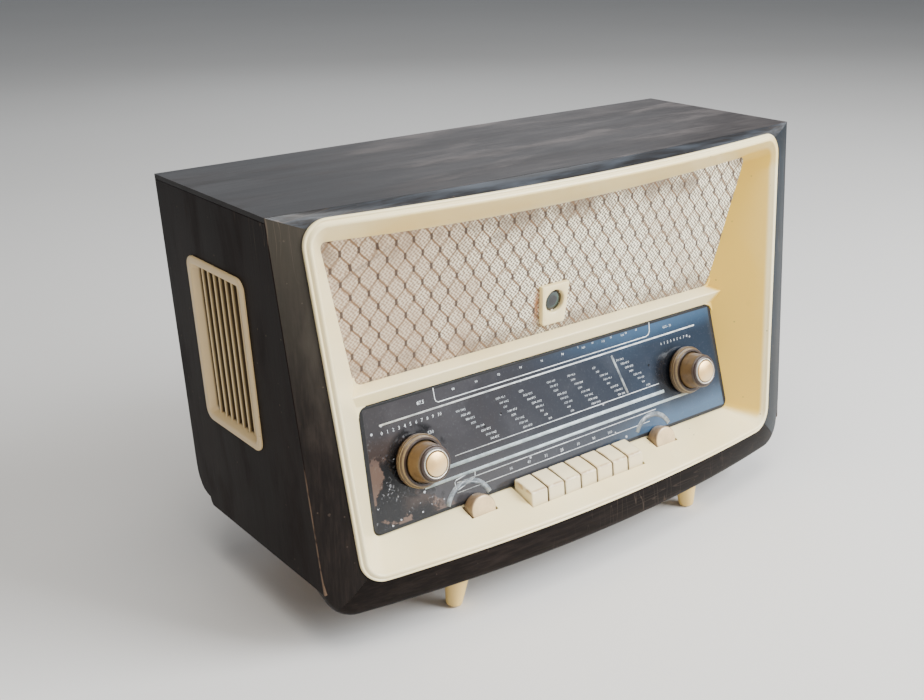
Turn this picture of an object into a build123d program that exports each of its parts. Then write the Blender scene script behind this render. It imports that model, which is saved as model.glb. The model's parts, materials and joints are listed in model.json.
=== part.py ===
from build123d import *
import math
import os

# Valve table radio, late 1950s style: a dark wooden cabinet with a bowed front, a cream moulded
# fascia, a glass tuning dial, two concentric knobs, two tone knobs and seven piano keys.
#
# Frame: +X to the right of a person facing the set, the front faces -Y, +Z up.
# The origin is the middle of the footprint, on the surface the feet stand on. Millimetres.

# ---------------------------------------------------------------- driving dimensions
WIDTH = 590.0                # widest, across the top
HEIGHT = 369.0               # foot tips to top
BACK_Y = 123.3               # rear edge of the wooden case
CASE_BOTTOM = 62.2           # underside of the case
BOARD = 12.0                 # thickness of the case boards
FLOOR = 10.0                 # thickness of the bottom board
GAP = 0.3                    # clearance between pieces that are fitted side by side
TAPER = 0.0473               # each side leans in by this much per mm downwards
LEAN = 0.1047                # the sides' front edge leans forward by this much per mm downwards
CORNER_Y = -64.0             # top front corners of the case
TOP_BOW = 13.5               # how far the middle of the top's front edge stands forward

LIP = 7.0                    # width of the fascia's rolled lip
LIP_DEPTH = 4.0
RIM_TOP = (272.0, -74.9, 364.3, 23.1)     # half width, y at the ends, z, bow
RIM_BOTTOM = (250.0, -109.0, 63.7, 18.4)
RAIL_BOTTOM = (264.0, -102.0, 37.0, 26.0)
RAIL_BACK = -62.0            # back of the bottom rail, where the bottom board begins

CLOTH_TOP = (-55.4, 338.0)   # y and z where the cloth meets the fascia's roof, at the ends
CLOTH_BOTTOM = (-45.2, 209.5)
CLOTH_HALF = 248.0           # half the cloth's width along its top and its bottom
CLOTH_HALF_LOW = 213.1
CLOTH_SAG = 8.5              # the roof reaches this much lower in the middle
LEDGE = (-56.6, 205.3)       # front edge of the bar between cloth and dial
DIAL_TOP = (-49.8, 191.6)
DIAL_BOTTOM = (-77.7, 84.8)
DIAL_HALF = (213.5, 221.0)   # half widths of the glass, top and bottom
WALL = 3.0                   # wall of the fascia moulding
CLOTH_THICK = 0.9
BAFFLE_THICK = 8.0
GLASS_THICK = 3.0
BACKPLATE_W = -15.0          # sheet behind the glass, measured in front of the dial's face

KNOB_X = 164.8               # the two concentric knobs
KNOB_FOOT = (-64.5, 135.4)   # where their axes meet the dial's face
RING_R = 23.5
KNOB_R = 18.4
CAP_R = 12.1
RING_TOP = 11.0              # front of the outer rings, in front of the dial's face
KNOB_TOP = 26.5              # front of the knob bodies
SHAFT_R = 3.0
SHAFT_TOP = 20.0             # end of the shafts inside the knob bodies
SLEEVE_R = 4.9
RUNNING = 0.05               # radial clearance of shafts and pins in their bores

KEY_COUNT = 7
KEY_PITCH = 20.0
KEY_GAP = 1.2
KEY_FRONT = -104.9
KEY_PIVOT = (-38.0, 79.5)
KEY_ROD_R = 2.0
KEY_CAP = [(KEY_FRONT, 71.5), (KEY_FRONT + 1.6, 87.5), (KEY_FRONT + 3.4, 88.9), (-78.4, 92.4),
           (-78.8, 77.2)]    # side view of a key's cap, as (y, z)

TONE_X = 114.0
TONE_R = 13.5
TONE_V = -58.1               # height of the tone knobs' axes, measured up the dial's face
TONE_LENGTH = 12.0
TONE_SHAFT_R = 2.5

EYE_Z = 237.7
EYE_R = 9.7
EYE_PLATE = (13.3, 16.2)     # half widths of its escutcheon, bottom and top
EYE_PLATE_Z = (218.3, 256.4)

GRILLE_Y = (-18.6, 78.2)     # side grille, outside edges of its frame
GRILLE_Z = (160.7, 310.0)
GRILLE_FLANGE = 6.0          # how far the frame laps over the panel round its opening
GRILLE_FRAME = 10.0          # width of the frame
GRILLE_PROUD = 2.2
GRILLE_BAYS = 8
SLAT = 2.8

FOOT_X = 145.0
FOOT_Y = (-92.0, 92.0)
FOOT_SPLAY = 7.0             # degrees outwards
FOOT_TOP_R = 15.0
FOOT_TIP_R = 7.5

CHASSIS_TOP = 100.0
CHASSIS_SHEET = 1.2
CHASSIS_HALF = 225.0
CHASSIS_Y = (6.0, 100.0)
CORD_W = -22.0               # plane of the dial cord, behind the dial's face
DRUM_AT = (60.0, -5.0)
DRUM_R = 40.0
SPINDLE_R = 5.0
PULLEY_AT = (150.0, 49.0)
PULLEY_R = 6.0

SPEAKER_X = 118.0
SPEAKER_V = 64.5             # height above the bottom of the cloth
SPEAKER_R = 62.0

REAR_Y = 128.0               # rearmost point, the raised middle of the cover
COVER = 2.5                  # thickness of the cover
RAISED = (170.0, 150.0, 300.0)            # half width and height range of its raised middle
SLOT_PITCH = 18.0
SLOT = 5.0
SOCKET_HOLE = (64.0, 78.0, 108.0)         # half width and height range of the socket opening
SOCKET_Z = 93.0
SOCKETS_X = (-48.0, -29.0, 29.0, 48.0)
SOCKET_R = 2.05

# ---------------------------------------------------------------- shared planes and helpers
dial_tilt = math.atan2(DIAL_TOP[0] - DIAL_BOTTOM[0], DIAL_TOP[1] - DIAL_BOTTOM[1])
dial_normal = (0, -math.cos(dial_tilt), math.sin(dial_tilt))
DIAL = Plane(origin=(0, KNOB_FOOT[0], KNOB_FOOT[1]), x_dir=(1, 0, 0), z_dir=dial_normal)
dial_up = math.hypot(DIAL_TOP[0] - KNOB_FOOT[0], DIAL_TOP[1] - KNOB_FOOT[1])
dial_down = -math.hypot(DIAL_BOTTOM[0] - KNOB_FOOT[0], DIAL_BOTTOM[1] - KNOB_FOOT[1])

cloth_tilt = math.atan2(CLOTH_BOTTOM[0] - CLOTH_TOP[0], CLOTH_TOP[1] - CLOTH_BOTTOM[1])
cloth_normal = (0, -math.cos(cloth_tilt), -math.sin(cloth_tilt))
CLOTH = Plane(origin=(0, CLOTH_BOTTOM[0], CLOTH_BOTTOM[1]), x_dir=(1, 0, 0), z_dir=cloth_normal)


def side_x(z):
    """Outside of the right-hand side panel at height z."""
    return WIDTH / 2 - TAPER * (HEIGHT - z)


def side_front(z):
    """Front edge of the side panels at height z."""
    return CORNER_Y - LEAN * (HEIGHT - z)


def bowed(edge, x):
    """y of a bowed edge (half width, y at the ends, z, bow) at x."""
    half, y_end, _, bow = edge
    return y_end - bow * (1 - (x / half) ** 2)


def cloth_y(z):
    """y of the cloth's plane at height z."""
    return CLOTH_BOTTOM[0] - math.tan(cloth_tilt) * (z - CLOTH_BOTTOM[1])


def along_x(section, reach, steps=7):
    """Solid through the closed sections section(x), from -reach to +reach."""
    stations = [-reach + 2 * reach * i / (steps - 1) for i in range(steps)]
    faces = [Plane.YZ.offset(x) * make_face(Polyline(*section(x), close=True)) for x in stations]
    return loft(faces)


def cut_plane(p, q):
    """Plane along Y through the front-view points (x, z) p and q; its normal is to the right of p to q."""
    run = Vector(q[0] - p[0], 0, q[1] - p[1])
    return Plane(origin=(p[0], 0, p[1]), x_dir=run, z_dir=(run.Z, 0, -run.X))


def keep_side(shape, p, q, keep=Keep.TOP):
    """The part of shape to the right of the front-view line from p to q, or to its left with Keep.BOTTOM."""
    return split(shape, bisect_by=cut_plane(p, q), keep=keep)


def between_walls(shape, points):
    """The part of shape inside a wall plane through three points of the right side, and its mirror image."""
    a, b, c = (Vector(*p) for p in points)
    normal = (b - a).cross(c - a).normalized()
    if normal.X < 0:
        normal = normal * -1
    shape = split(shape, bisect_by=Plane(origin=a, z_dir=normal), keep=Keep.BOTTOM)
    left = Plane(origin=(-a.X, a.Y, a.Z), z_dir=(-normal.X, normal.Y, normal.Z))
    return split(shape, bisect_by=left, keep=Keep.BOTTOM)


def block(x0, x1, y0, y1, z0, z1):
    """Box between two corners."""
    return Pos((x0 + x1) / 2, (y0 + y1) / 2, (z0 + z1) / 2) * Box(x1 - x0, y1 - y0, z1 - z0)


def on_dial(x, v, w0, w1, radius):
    """Cylinder square to the dial, centred at x, v on its face, from w0 to w1 in front of it."""
    return DIAL * Pos(x, v, (w0 + w1) / 2) * Cylinder(radius, w1 - w0)


def turned(x, v, profile):
    """Turned solid about an axis square to the dial, from (radius, w) points."""
    face = make_face(Polyline(*[(r, 0, w) for r, w in profile], close=True))
    return DIAL * Pos(x, v, 0) * revolve(face, axis=Axis.Z)


def mirrored(shape):
    return mirror(shape, about=Plane.YZ)


parts = {}


# ---------------------------------------------------------------- cabinet
def cabinet():
    half = WIDTH / 2
    under_top = HEIGHT - BOARD
    edge = (half, CORNER_Y, HEIGHT, TOP_BOW)
    front = ThreePointArc((-half, CORNER_Y), (0, CORNER_Y - TOP_BOW), (half, CORNER_Y))
    rest = Polyline((half, CORNER_Y), (half, BACK_Y), (-half, BACK_Y), (-half, CORNER_Y))
    parts["top_panel"] = Pos(0, 0, under_top) * extrude(make_face([front, rest]), BOARD)

    outline = Polyline((side_front(under_top), under_top), (BACK_Y, under_top), (BACK_Y, CASE_BOTTOM),
                       (side_front(CASE_BOTTOM), CASE_BOTTOM), close=True)
    side = extrude(Plane.YZ * make_face(outline), half + 20)
    low_x = side_x(CASE_BOTTOM)
    side = keep_side(side, (low_x, CASE_BOTTOM), (half, HEIGHT), Keep.BOTTOM)
    side = keep_side(side, (low_x - BOARD, CASE_BOTTOM), (half - BOARD, HEIGHT))
    side -= block(half - 90, half + 20, GRILLE_Y[0] + GRILLE_FLANGE, GRILLE_Y[1] - GRILLE_FLANGE,
                  GRILLE_Z[0] + GRILLE_FLANGE, GRILLE_Z[1] - GRILLE_FLANGE)
    parts["side_panel_right"] = side
    parts["side_panel_left"] = mirrored(side)
    board_half = low_x - BOARD - 1
    board = block(-board_half, board_half, RAIL_BACK + GAP, BACK_Y - 8, CASE_BOTTOM, CASE_BOTTOM + FLOOR)
    for x in (-TONE_X, TONE_X):
        notch = TONE_R + 0.5
        board -= block(x - notch, x + notch, RAIL_BACK - 1, -44, CASE_BOTTOM - 1, CASE_BOTTOM + FLOOR + 1)
    parts["bottom_board"] = board

    def top_rail(x):
        back = bowed(edge, x) - 0.05
        nose = bowed(RIM_TOP, x) + LIP_DEPTH + GAP
        return [(back, HEIGHT), (nose, RIM_TOP[2] + 0.7), (nose, RIM_TOP[2] - 5), (back, under_top)]

    def bottom_rail(x):
        inner = bowed(RIM_BOTTOM, x) + LIP_DEPTH + GAP
        outer = bowed(RAIL_BOTTOM, x)
        low = RAIL_BOTTOM[2]
        shelf = CASE_BOTTOM - 2.2
        return [(inner, RIM_BOTTOM[2] - 1), (outer, low + 8), (outer + 5, low), (RAIL_BACK, low + 12),
                (RAIL_BACK, shelf), (inner + 4, shelf)]

    top_corner, rim_top = (half, HEIGHT), (RIM_TOP[0], RIM_TOP[2])
    rim_low, low_corner = (RIM_BOTTOM[0], RIM_BOTTOM[2]), (RAIL_BOTTOM[0], RAIL_BOTTOM[2] + 1.6)
    rail = keep_side(along_x(top_rail, half - 0.2), rim_top, top_corner, Keep.BOTTOM)
    parts["frame_rail_top"] = keep_side(rail, (-half, HEIGHT), (-RIM_TOP[0], RIM_TOP[2]), Keep.BOTTOM)
    rail = keep_side(along_x(bottom_rail, RAIL_BOTTOM[0]), low_corner, rim_low, Keep.BOTTOM)
    parts["frame_rail_bottom"] = keep_side(rail, (-rim_low[0], rim_low[1]), (-low_corner[0], low_corner[1]),
                                           Keep.BOTTOM)

    stile = frame_stile(low_corner[1], HEIGHT)
    stile = keep_side(stile, rim_top, top_corner)
    stile = keep_side(stile, low_corner, rim_low)
    stile = keep_side(stile, low_corner, (low_x, CASE_BOTTOM), Keep.BOTTOM)
    stile -= parts["top_panel"]
    parts["frame_stile_right"] = stile
    parts["frame_stile_left"] = mirrored(stile)


def frame_stile(low, high):
    """Right upright of the wooden front frame, before its mitres are cut."""
    rim_run = (RIM_TOP[0] - RIM_BOTTOM[0]) / (RIM_TOP[2] - RIM_BOTTOM[2])
    rim_lean = (RIM_TOP[1] - RIM_BOTTOM[1]) / (RIM_TOP[2] - RIM_BOTTOM[2])
    sections = []
    for z in (low, high):
        inner_x = RIM_TOP[0] + rim_run * (z - RIM_TOP[2])
        inner_y = RIM_TOP[1] + rim_lean * (z - RIM_TOP[2]) + LIP_DEPTH + GAP
        outer_x = side_x(z)
        outer_y = side_front(z) - 0.05
        outline = Polyline((inner_x - 1.5, inner_y), (inner_x + 1, inner_y - 2), (outer_x, outer_y),
                           (outer_x - BOARD, outer_y), (inner_x - 1.5, inner_y + 6), close=True)
        sections.append(Plane.XY.offset(z) * make_face(outline))
    return loft(sections, ruled=True)


def feet():
    """Four tapered feet under the case, splayed outwards."""
    solids = []
    height = CASE_BOTTOM + 6
    for x in (-FOOT_X, FOOT_X):
        for y in FOOT_Y:
            turn = -math.copysign(FOOT_SPLAY, x)
            cone = Rot(0, turn, 0) * Cone(FOOT_TIP_R, FOOT_TOP_R, height)
            cone = Pos(x, y, height / 2 - 3) * cone
            top = CASE_BOTTOM if y > 0 else RAIL_BOTTOM[2] + 18
            cone &= block(x - 40, x + 40, y - 40, y + 40, 0, top)
            solids.append(cone - parts["frame_rail_bottom"] if y < 0 else cone)
    parts["feet"] = Compound(children=solids)


# ---------------------------------------------------------------- moulded front
def fascia():
    """Cream moulding: lip, roof, slanted side walls, bar between cloth and dial, and the key shelf."""
    def hollow(x):
        top_y, low_y = bowed(RIM_TOP, x), bowed(RIM_BOTTOM, x)
        roof = CLOTH_TOP[1] - CLOTH_SAG * (1 - (x / CLOTH_HALF) ** 2)
        return [(-220, RIM_TOP[2] - LIP), (top_y + 1.5, RIM_TOP[2] - LIP), (cloth_y(roof), roof),
                (cloth_y(roof) + 9, roof), (CLOTH_BOTTOM[0] + 9, CLOTH_BOTTOM[1]), CLOTH_BOTTOM, LEDGE,
                DIAL_TOP, (DIAL_TOP[0] + 9, DIAL_TOP[1]), (DIAL_BOTTOM[0] + 9, DIAL_BOTTOM[1]), DIAL_BOTTOM,
                (low_y + 3, RIM_BOTTOM[2] + LIP), (-220, RIM_BOTTOM[2] + LIP)]

    def shell(x):
        top_y, low_y = bowed(RIM_TOP, x), bowed(RIM_BOTTOM, x)
        roof = CLOTH_TOP[1] - CLOTH_SAG * (1 - (x / CLOTH_HALF) ** 2) + WALL
        back = CLOTH_BOTTOM[0] - 0.1
        return [(top_y, RIM_TOP[2]), (top_y + LIP_DEPTH, RIM_TOP[2]), (top_y + LIP_DEPTH, RIM_TOP[2] - 5.5),
                (cloth_y(roof) - 0.1, roof), (back, CLOTH_BOTTOM[1]), (back, CLOTH_BOTTOM[1] - 5),
                (DIAL_TOP[0] + 0.5, DIAL_TOP[1] + 1), DIAL_TOP, DIAL_BOTTOM,
                (DIAL_BOTTOM[0] - 1, DIAL_BOTTOM[1] - WALL), (low_y + LIP_DEPTH + 1, RIM_BOTTOM[2] + 3.5),
                (low_y + LIP_DEPTH, RIM_BOTTOM[2]), (low_y, RIM_BOTTOM[2])]

    reach = RIM_TOP[0] + 4
    inner_wall = [(RIM_TOP[0] - LIP, RIM_TOP[1] + 1.5, RIM_TOP[2] - LIP),
                  (RIM_BOTTOM[0] - LIP, RIM_BOTTOM[1] + 3, RIM_BOTTOM[2] + LIP),
                  (CLOTH_HALF_LOW, CLOTH_BOTTOM[0], CLOTH_BOTTOM[1])]
    outer_wall = [(x + WALL + 1, y, z) for x, y, z in inner_wall]
    cavity = between_walls(along_x(hollow, reach), inner_wall)
    body = between_walls(along_x(shell, reach), outer_wall) - cavity
    lip = [(RIM_TOP[0], RIM_TOP[2]), (RIM_BOTTOM[0], RIM_BOTTOM[2])]
    body = keep_side(body, *lip)
    body = keep_side(body, (-lip[1][0], lip[1][1]), (-lip[0][0], lip[0][1]))
    half_keys = KEY_COUNT * KEY_PITCH / 2 + 1.5
    body -= block(-half_keys, half_keys, KEY_FRONT - 1.2, DIAL_BOTTOM[0] + 1, 60, 110)
    for x in (-TONE_X, TONE_X):
        slot = DIAL * Pos(x, TONE_V, TONE_LENGTH / 2 + 1) * Box(2 * TONE_R + 3, 60, TONE_LENGTH + 3)
        body -= slot & block(x - 40, x + 40, -140, DIAL_BOTTOM[0] + 1, 40, 130)
    parts["fascia"] = body


def cloth_front():
    """Speaker baffle, grille cloth, and the magic eye with its escutcheon."""
    def panel(low_half, high_half, low, high, back, front):
        outline = Polyline((-low_half, low), (low_half, low), (high_half, high), (-high_half, high),
                           close=True)
        return CLOTH * Pos(0, 0, back) * extrude(make_face(outline), front - back)

    tall = CLOTH_TOP[1] - CLOTH_BOTTOM[1]
    eye_v = EYE_Z - CLOTH_BOTTOM[1]
    cloth = panel(CLOTH_HALF_LOW - 1, CLOTH_HALF, 0.5, tall + 2, -GAP - CLOTH_THICK, -GAP)
    cloth -= CLOTH * Pos(0, eye_v, -1) * Cylinder(EYE_R + 1.5, 8)
    parts["grille_cloth"] = cloth
    baffle_front = -CLOTH_THICK - 2 * GAP
    baffle = panel(CLOTH_HALF_LOW + 3, CLOTH_HALF + 8, -4.5, tall + 12, baffle_front - BAFFLE_THICK,
                   baffle_front)
    baffle -= CLOTH * Pos(0, eye_v, -5) * Cylinder(EYE_R + 1.5, 20)
    for x in (-SPEAKER_X, SPEAKER_X):
        baffle -= CLOTH * Pos(x, SPEAKER_V, -5) * Cylinder(SPEAKER_R - 6, 20)
    parts["baffle_board"] = baffle

    low = EYE_PLATE_Z[0] - CLOTH_BOTTOM[1]
    high = EYE_PLATE_Z[1] - CLOTH_BOTTOM[1]
    plate = Polyline((-EYE_PLATE[0], low), (EYE_PLATE[0], low), (EYE_PLATE[1], high), (-EYE_PLATE[1], high),
                     close=True)
    plate = CLOTH * Pos(0, 0, -0.25) * extrude(make_face(plate), 4.5)
    parts["eye_escutcheon"] = plate - CLOTH * Pos(0, eye_v, 0) * Cylinder(EYE_R, 20)
    parts["magic_eye"] = CLOTH * Pos(0, eye_v, -30) * Cylinder(EYE_R - 0.4, 62)


def dial():
    """Printed glass, the sheet behind it with the cord pulleys, and the pointer."""
    top = dial_up - GAP
    low = dial_down + GAP
    high_half, low_half = DIAL_HALF
    glass = Polyline((-low_half, low), (low_half, low), (high_half, top), (-high_half, top), close=True)
    glass = DIAL * Pos(0, 0, -GAP - GLASS_THICK) * extrude(make_face(glass), GLASS_THICK)
    sheet = DIAL * Pos(0, 5, BACKPLATE_W) * Box(2 * high_half - 20, 92, CHASSIS_SHEET)
    for x in (-KNOB_X, KNOB_X):
        glass -= on_dial(x, 0, -10, 10, SLEEVE_R + 1.5)
        sheet -= on_dial(x, 0, -20, -10, SLEEVE_R + RUNNING)
    parts["dial_glass"] = glass
    parts["dial_backplate"] = sheet

    x, v = PULLEY_AT
    wheels = []
    for side in (-1, 1):
        post = on_dial(side * x, v, CORD_W - 3, BACKPLATE_W - CHASSIS_SHEET / 2, 1.5)
        wheel = turned(side * x, v, [(1.55, CORD_W - 2.5), (PULLEY_R + 1.5, CORD_W - 2.5), (PULLEY_R, CORD_W),
                                     (PULLEY_R + 1.5, CORD_W + 2.5), (1.55, CORD_W + 2.5)])
        wheels += [post, wheel]
    parts["cord_pulleys"] = Compound(children=wheels)

    needle = DIAL * Pos(0, 26, -9) * Box(1.6, 62, 1)
    arm_w = (CORD_W + 1, -8.5)
    arm = DIAL * Pos(0, 56.2, sum(arm_w) / 2) * Box(8, 1.6, arm_w[1] - arm_w[0] + 2)
    clip = DIAL * Pos(0, 54.5, CORD_W + 2) * Box(8, 5, 1)
    parts["dial_pointer"] = needle + arm + clip


# ---------------------------------------------------------------- controls
def knobs():
    for side, ring, knob, cap, shaft in ((-1, "aerial_ring", "volume_knob", "volume_cap", "volume_shaft"),
                                         (1, "band_ring", "tuning_knob", "tuning_cap", "tuning_shaft")):
        x = side * KNOB_X
        parts[ring] = turned(x, 0, [
            (SHAFT_R + RUNNING, -20), (SLEEVE_R, -20), (SLEEVE_R, 2), (RING_R, 2), (RING_R, 7),
            (RING_R - 2, 8), (RING_R - 2, RING_TOP), (KNOB_R + 0.5, RING_TOP), (KNOB_R + 0.5, 4.5),
            (SHAFT_R + RUNNING, 4.5)])
        seat = KNOB_TOP - 2
        parts[knob] = turned(x, 0, [
            (SHAFT_R, 5), (KNOB_R, 5), (KNOB_R - 2.2, KNOB_TOP), (CAP_R + 3, KNOB_TOP), (CAP_R + 3, seat),
            (0, seat), (0, SHAFT_TOP), (SHAFT_R, SHAFT_TOP)])
        parts[cap] = turned(x, 0, [
            (0, seat), (CAP_R + 2.9, seat), (CAP_R + 2.9, seat + 3.6), (CAP_R + 0.8, seat + 4.2),
            (CAP_R + 0.4, seat + 2.4), (CAP_R, seat + 2.4), (CAP_R, seat + 4.6), (CAP_R * 0.5, seat + 5.6),
            (0, seat + 5.9)])
        tail = -48 if side > 0 else -30
        parts[shaft] = on_dial(x, 0, tail, SHAFT_TOP, SHAFT_R)
    x = KNOB_X
    parts["tuning_shaft"] += turned(x, 0, [(0, CORD_W - 4), (SPINDLE_R + 1, CORD_W - 4),
                                           (SPINDLE_R, CORD_W - 2), (SPINDLE_R, CORD_W + 1),
                                           (0, CORD_W + 1)])
    parts["flywheel"] = turned(x, 0, [(SHAFT_R, -46), (22, -46), (22, -38), (12, -38), (12, -40),
                                      (6, -40), (6, -36), (SHAFT_R, -36)])

    for side, name in ((-1, "bass_knob"), (1, "treble_knob")):
        x = side * TONE_X
        knob = turned(x, TONE_V, [(0, 1), (TONE_R, 1), (TONE_R, TONE_LENGTH), (TONE_R - 1, TONE_LENGTH + 1),
                                  (0, TONE_LENGTH + 1)])
        parts[name] = knob + on_dial(x, TONE_V, -24, 1, TONE_SHAFT_R)

    pots = [turned(-KNOB_X, 0, [(SHAFT_R + RUNNING, -21), (13, -21), (13, -34), (0, -34), (0, -31),
                                (SHAFT_R + RUNNING, -31)])]
    bore = TONE_SHAFT_R + RUNNING
    for side in (-1, 1):
        pots.append(turned(side * TONE_X, TONE_V, [(bore, -12), (10, -12), (10, -28), (0, -28), (0, -25),
                                                   (bore, -25)]))
    parts["potentiometers"] = Compound(children=pots)


def on_rod(x, radius, length):
    """Cylinder on the keys' rod, centred at x."""
    return Pos(x, *KEY_PIVOT) * Rot(0, 90, 0) * Cylinder(radius, length)


def keys():
    """Seven piano keys on one rod, and the bracket that carries the rod."""
    pivot_y, pivot_z = KEY_PIVOT
    for i in range(KEY_COUNT):
        x = (i - (KEY_COUNT - 1) / 2) * KEY_PITCH
        half = (KEY_PITCH - KEY_GAP) / 2
        cap = Plane.YZ.offset(x - half) * extrude(make_face(Polyline(*KEY_CAP, close=True)), 2 * half)
        lever = block(x - 5, x + 5, -79.5, pivot_y, 77.4, 81.6)
        boss = on_rod(x, 4.2, 10)
        parts[f"key_{i + 1}"] = cap + lever + boss - on_rod(x, KEY_ROD_R + RUNNING, 30)
    reach = KEY_COUNT * KEY_PITCH / 2 + 4
    base_z = CASE_BOTTOM + FLOOR + 0.2
    bracket = block(-reach, reach, pivot_y - 8, pivot_y + 14, base_z, base_z + CHASSIS_SHEET)
    for side in (-1, 1):
        bracket += block(side * reach - 1, side * reach + 1, pivot_y - 8, pivot_y + 14, base_z, 90)
    parts["key_bracket"] = bracket - on_rod(0, KEY_ROD_R, 2 * reach + 10)
    parts["key_rod"] = on_rod(0, KEY_ROD_R, 2 * reach)


# ---------------------------------------------------------------- works
def chassis():
    """Steel tray with the transformers, valves, filter cans and tuner that stand on it."""
    y0, y1 = CHASSIS_Y
    low = CASE_BOTTOM + FLOOR + 0.2
    inner = CHASSIS_HALF - CHASSIS_SHEET
    tray = block(-CHASSIS_HALF, CHASSIS_HALF, y0, y1, low, CHASSIS_TOP)
    parts["chassis"] = tray - block(-inner, inner, y0 + CHASSIS_SHEET, y1 - CHASSIS_SHEET, low - 1,
                                    CHASSIS_TOP - CHASSIS_SHEET)
    top = CHASSIS_TOP + 0.05

    def transformer(cx, cy, length, depth, height):
        core = block(cx - length / 2, cx + length / 2, cy - depth / 2, cy + depth / 2, top, top + height)
        coil = block(cx - length / 4, cx + length / 4, cy - depth / 2 - 9, cy + depth / 2 + 9,
                     top + height * 0.2, top + height * 0.8)
        return core + coil

    parts["mains_transformer"] = transformer(-178, 55, 74, 40, 62)
    parts["output_transformer"] = transformer(-105, 52, 44, 22, 38)
    seat = top + 6
    sockets = []
    for name, radius, height, places in (("power_valves", 11, 66, ((-62, 78), (-30, 78))),
                                         ("signal_valves", 10.5, 48, ((48, 80), (92, 80), (136, 80)))):
        bulbs = []
        for cx, cy in places:
            glass = Pos(cx, cy, seat + height / 2) * Cylinder(radius, height)
            bulbs.append(glass + Pos(cx, cy, seat + height) * Sphere(radius * 0.98))
            sockets.append(Pos(cx, cy, top + 3) * Cylinder(radius + 1.5, 5.9))
        parts[name] = Compound(children=bulbs)
    parts["valve_sockets"] = Compound(children=sockets)
    cans = [block(cx - 12, cx + 12, 26, 50, top, top + 44) for cx in (60, 96, 132)]
    parts["filter_cans"] = Compound(children=cans)
    parts["vhf_tuner"] = block(160, 214, 30, 88, top, top + 56)


def tuning_capacitor():
    """Frame and rotor behind the dial, with the cord drum on the rotor's reduction hub."""
    x, v = DRUM_AT
    front, back = -31, -70
    plate = 1.6
    frame = DIAL * Pos(x, v - 22.2, (back + front) / 2) * Box(50, plate, front - back + plate)
    for w in (front, back):
        frame += DIAL * Pos(x, v, w) * Box(50, 46, plate)
    parts["tuning_capacitor"] = frame - on_dial(x, v, -90, 0, SHAFT_R + RUNNING)
    rotor = on_dial(x, v, back - 2, CORD_W + 5, SHAFT_R)
    for i in range(5):
        vane = on_dial(x, v, -62 + 6 * i, -60.5 + 6 * i, 19) & (DIAL * Pos(x, v + 25, -48) * Box(60, 50, 60))
        rotor += vane
    parts["capacitor_rotor"] = rotor
    hub = SHAFT_R + RUNNING
    parts["dial_drum"] = turned(x, v, [(hub, CORD_W - 5), (8, CORD_W - 5), (8, CORD_W - 2.5),
                                       (DRUM_R + 1.5, CORD_W - 2.5), (DRUM_R, CORD_W),
                                       (DRUM_R + 1.5, CORD_W + 2.5), (DRUM_R - 4, CORD_W + 2.5),
                                       (DRUM_R - 4, CORD_W - 1), (hub, CORD_W - 1)])


def aerial():
    """Ferrite rod that turns on a post, driven from the ring round the volume knob."""
    y, post_top, rod_z = 45, 332, 340
    post = Pos(0, y, (CHASSIS_TOP + post_top) / 2) * Cylinder(4, post_top - CHASSIS_TOP - 0.1)
    parts["aerial_post"] = post + Pos(0, y, CHASSIS_TOP + 2) * Cylinder(12, 3.8)
    rod = Pos(0, y, rod_z) * Rot(0, 90, 0) * Cylinder(5, 140)
    parts["ferrite_rod"] = rod + block(-9, 9, y - 9, y + 9, post_top + 0.2, rod_z + 6)


def speakers():
    """Two round loudspeakers behind the cloth: steel baskets, paper cones and magnets."""
    r = SPEAKER_R
    baskets, cones, magnets = [], [], []
    for x in (-SPEAKER_X, SPEAKER_X):
        centre = CLOTH * Pos(x, SPEAKER_V, 0)

        def spun(profile):
            face = make_face(Polyline(*[(a, 0, w) for a, w in profile], close=True))
            return centre * revolve(face, axis=Axis.Z)

        baskets.append(spun([(r, -9.8), (r, -12), (r - 8, -12), (24, -40), (24, -44), (10, -44), (10, -42),
                             (22, -42), (22, -39.5), (r - 10, -10.4), (r - 10, -9.8)]))
        cones.append(spun([(r - 10.4, -10.6), (12, -36), (0, -33), (0, -34.5), (11.4, -38),
                           (r - 10.4, -12.4)]))
        magnets.append(spun([(0, -44.2), (26, -44.2), (26, -62), (0, -62)]))
    parts["speaker_baskets"] = Compound(children=baskets)
    parts["speaker_cones"] = Compound(children=cones)
    parts["speaker_magnets"] = Compound(children=magnets)


# ---------------------------------------------------------------- openings of the case
def side_grilles():
    """Framed grilles with upright slats in both sides of the case."""
    y0, y1 = GRILLE_Y
    z0, z1 = GRILLE_Z
    low_x, high_x = side_x(z0), side_x(z1)

    def slab(inset):
        return block(low_x - 20, low_x + 20, y0 + inset, y1 - inset, z0 + inset, z1 - inset)

    def between(shape, inner, outer):
        """The part of shape from inner to outer, both measured out from the face of the side panel."""
        shape = keep_side(shape, (low_x + outer, z0), (high_x + outer, z1), Keep.BOTTOM)
        return keep_side(shape, (low_x + inner, z0), (high_x + inner, z1))

    opening = slab(GRILLE_FRAME)
    flange = between(slab(0) - opening, 0.05, GRILLE_PROUD)
    frame = between(slab(GRILLE_FLANGE + GAP) - opening, -BOARD, GRILLE_PROUD)
    grille = frame + flange
    pitch = (y1 - y0 - 2 * GRILLE_FRAME) / GRILLE_BAYS
    for i in range(1, GRILLE_BAYS):
        y = y0 + GRILLE_FRAME + i * pitch
        slat = block(low_x - 20, low_x + 20, y - SLAT / 2, y + SLAT / 2, z0 + 8, z1 - 8)
        grille += between(slat, -BOARD, -3)
    parts["side_grille_right"] = grille
    parts["side_grille_left"] = mirrored(grille)


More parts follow.
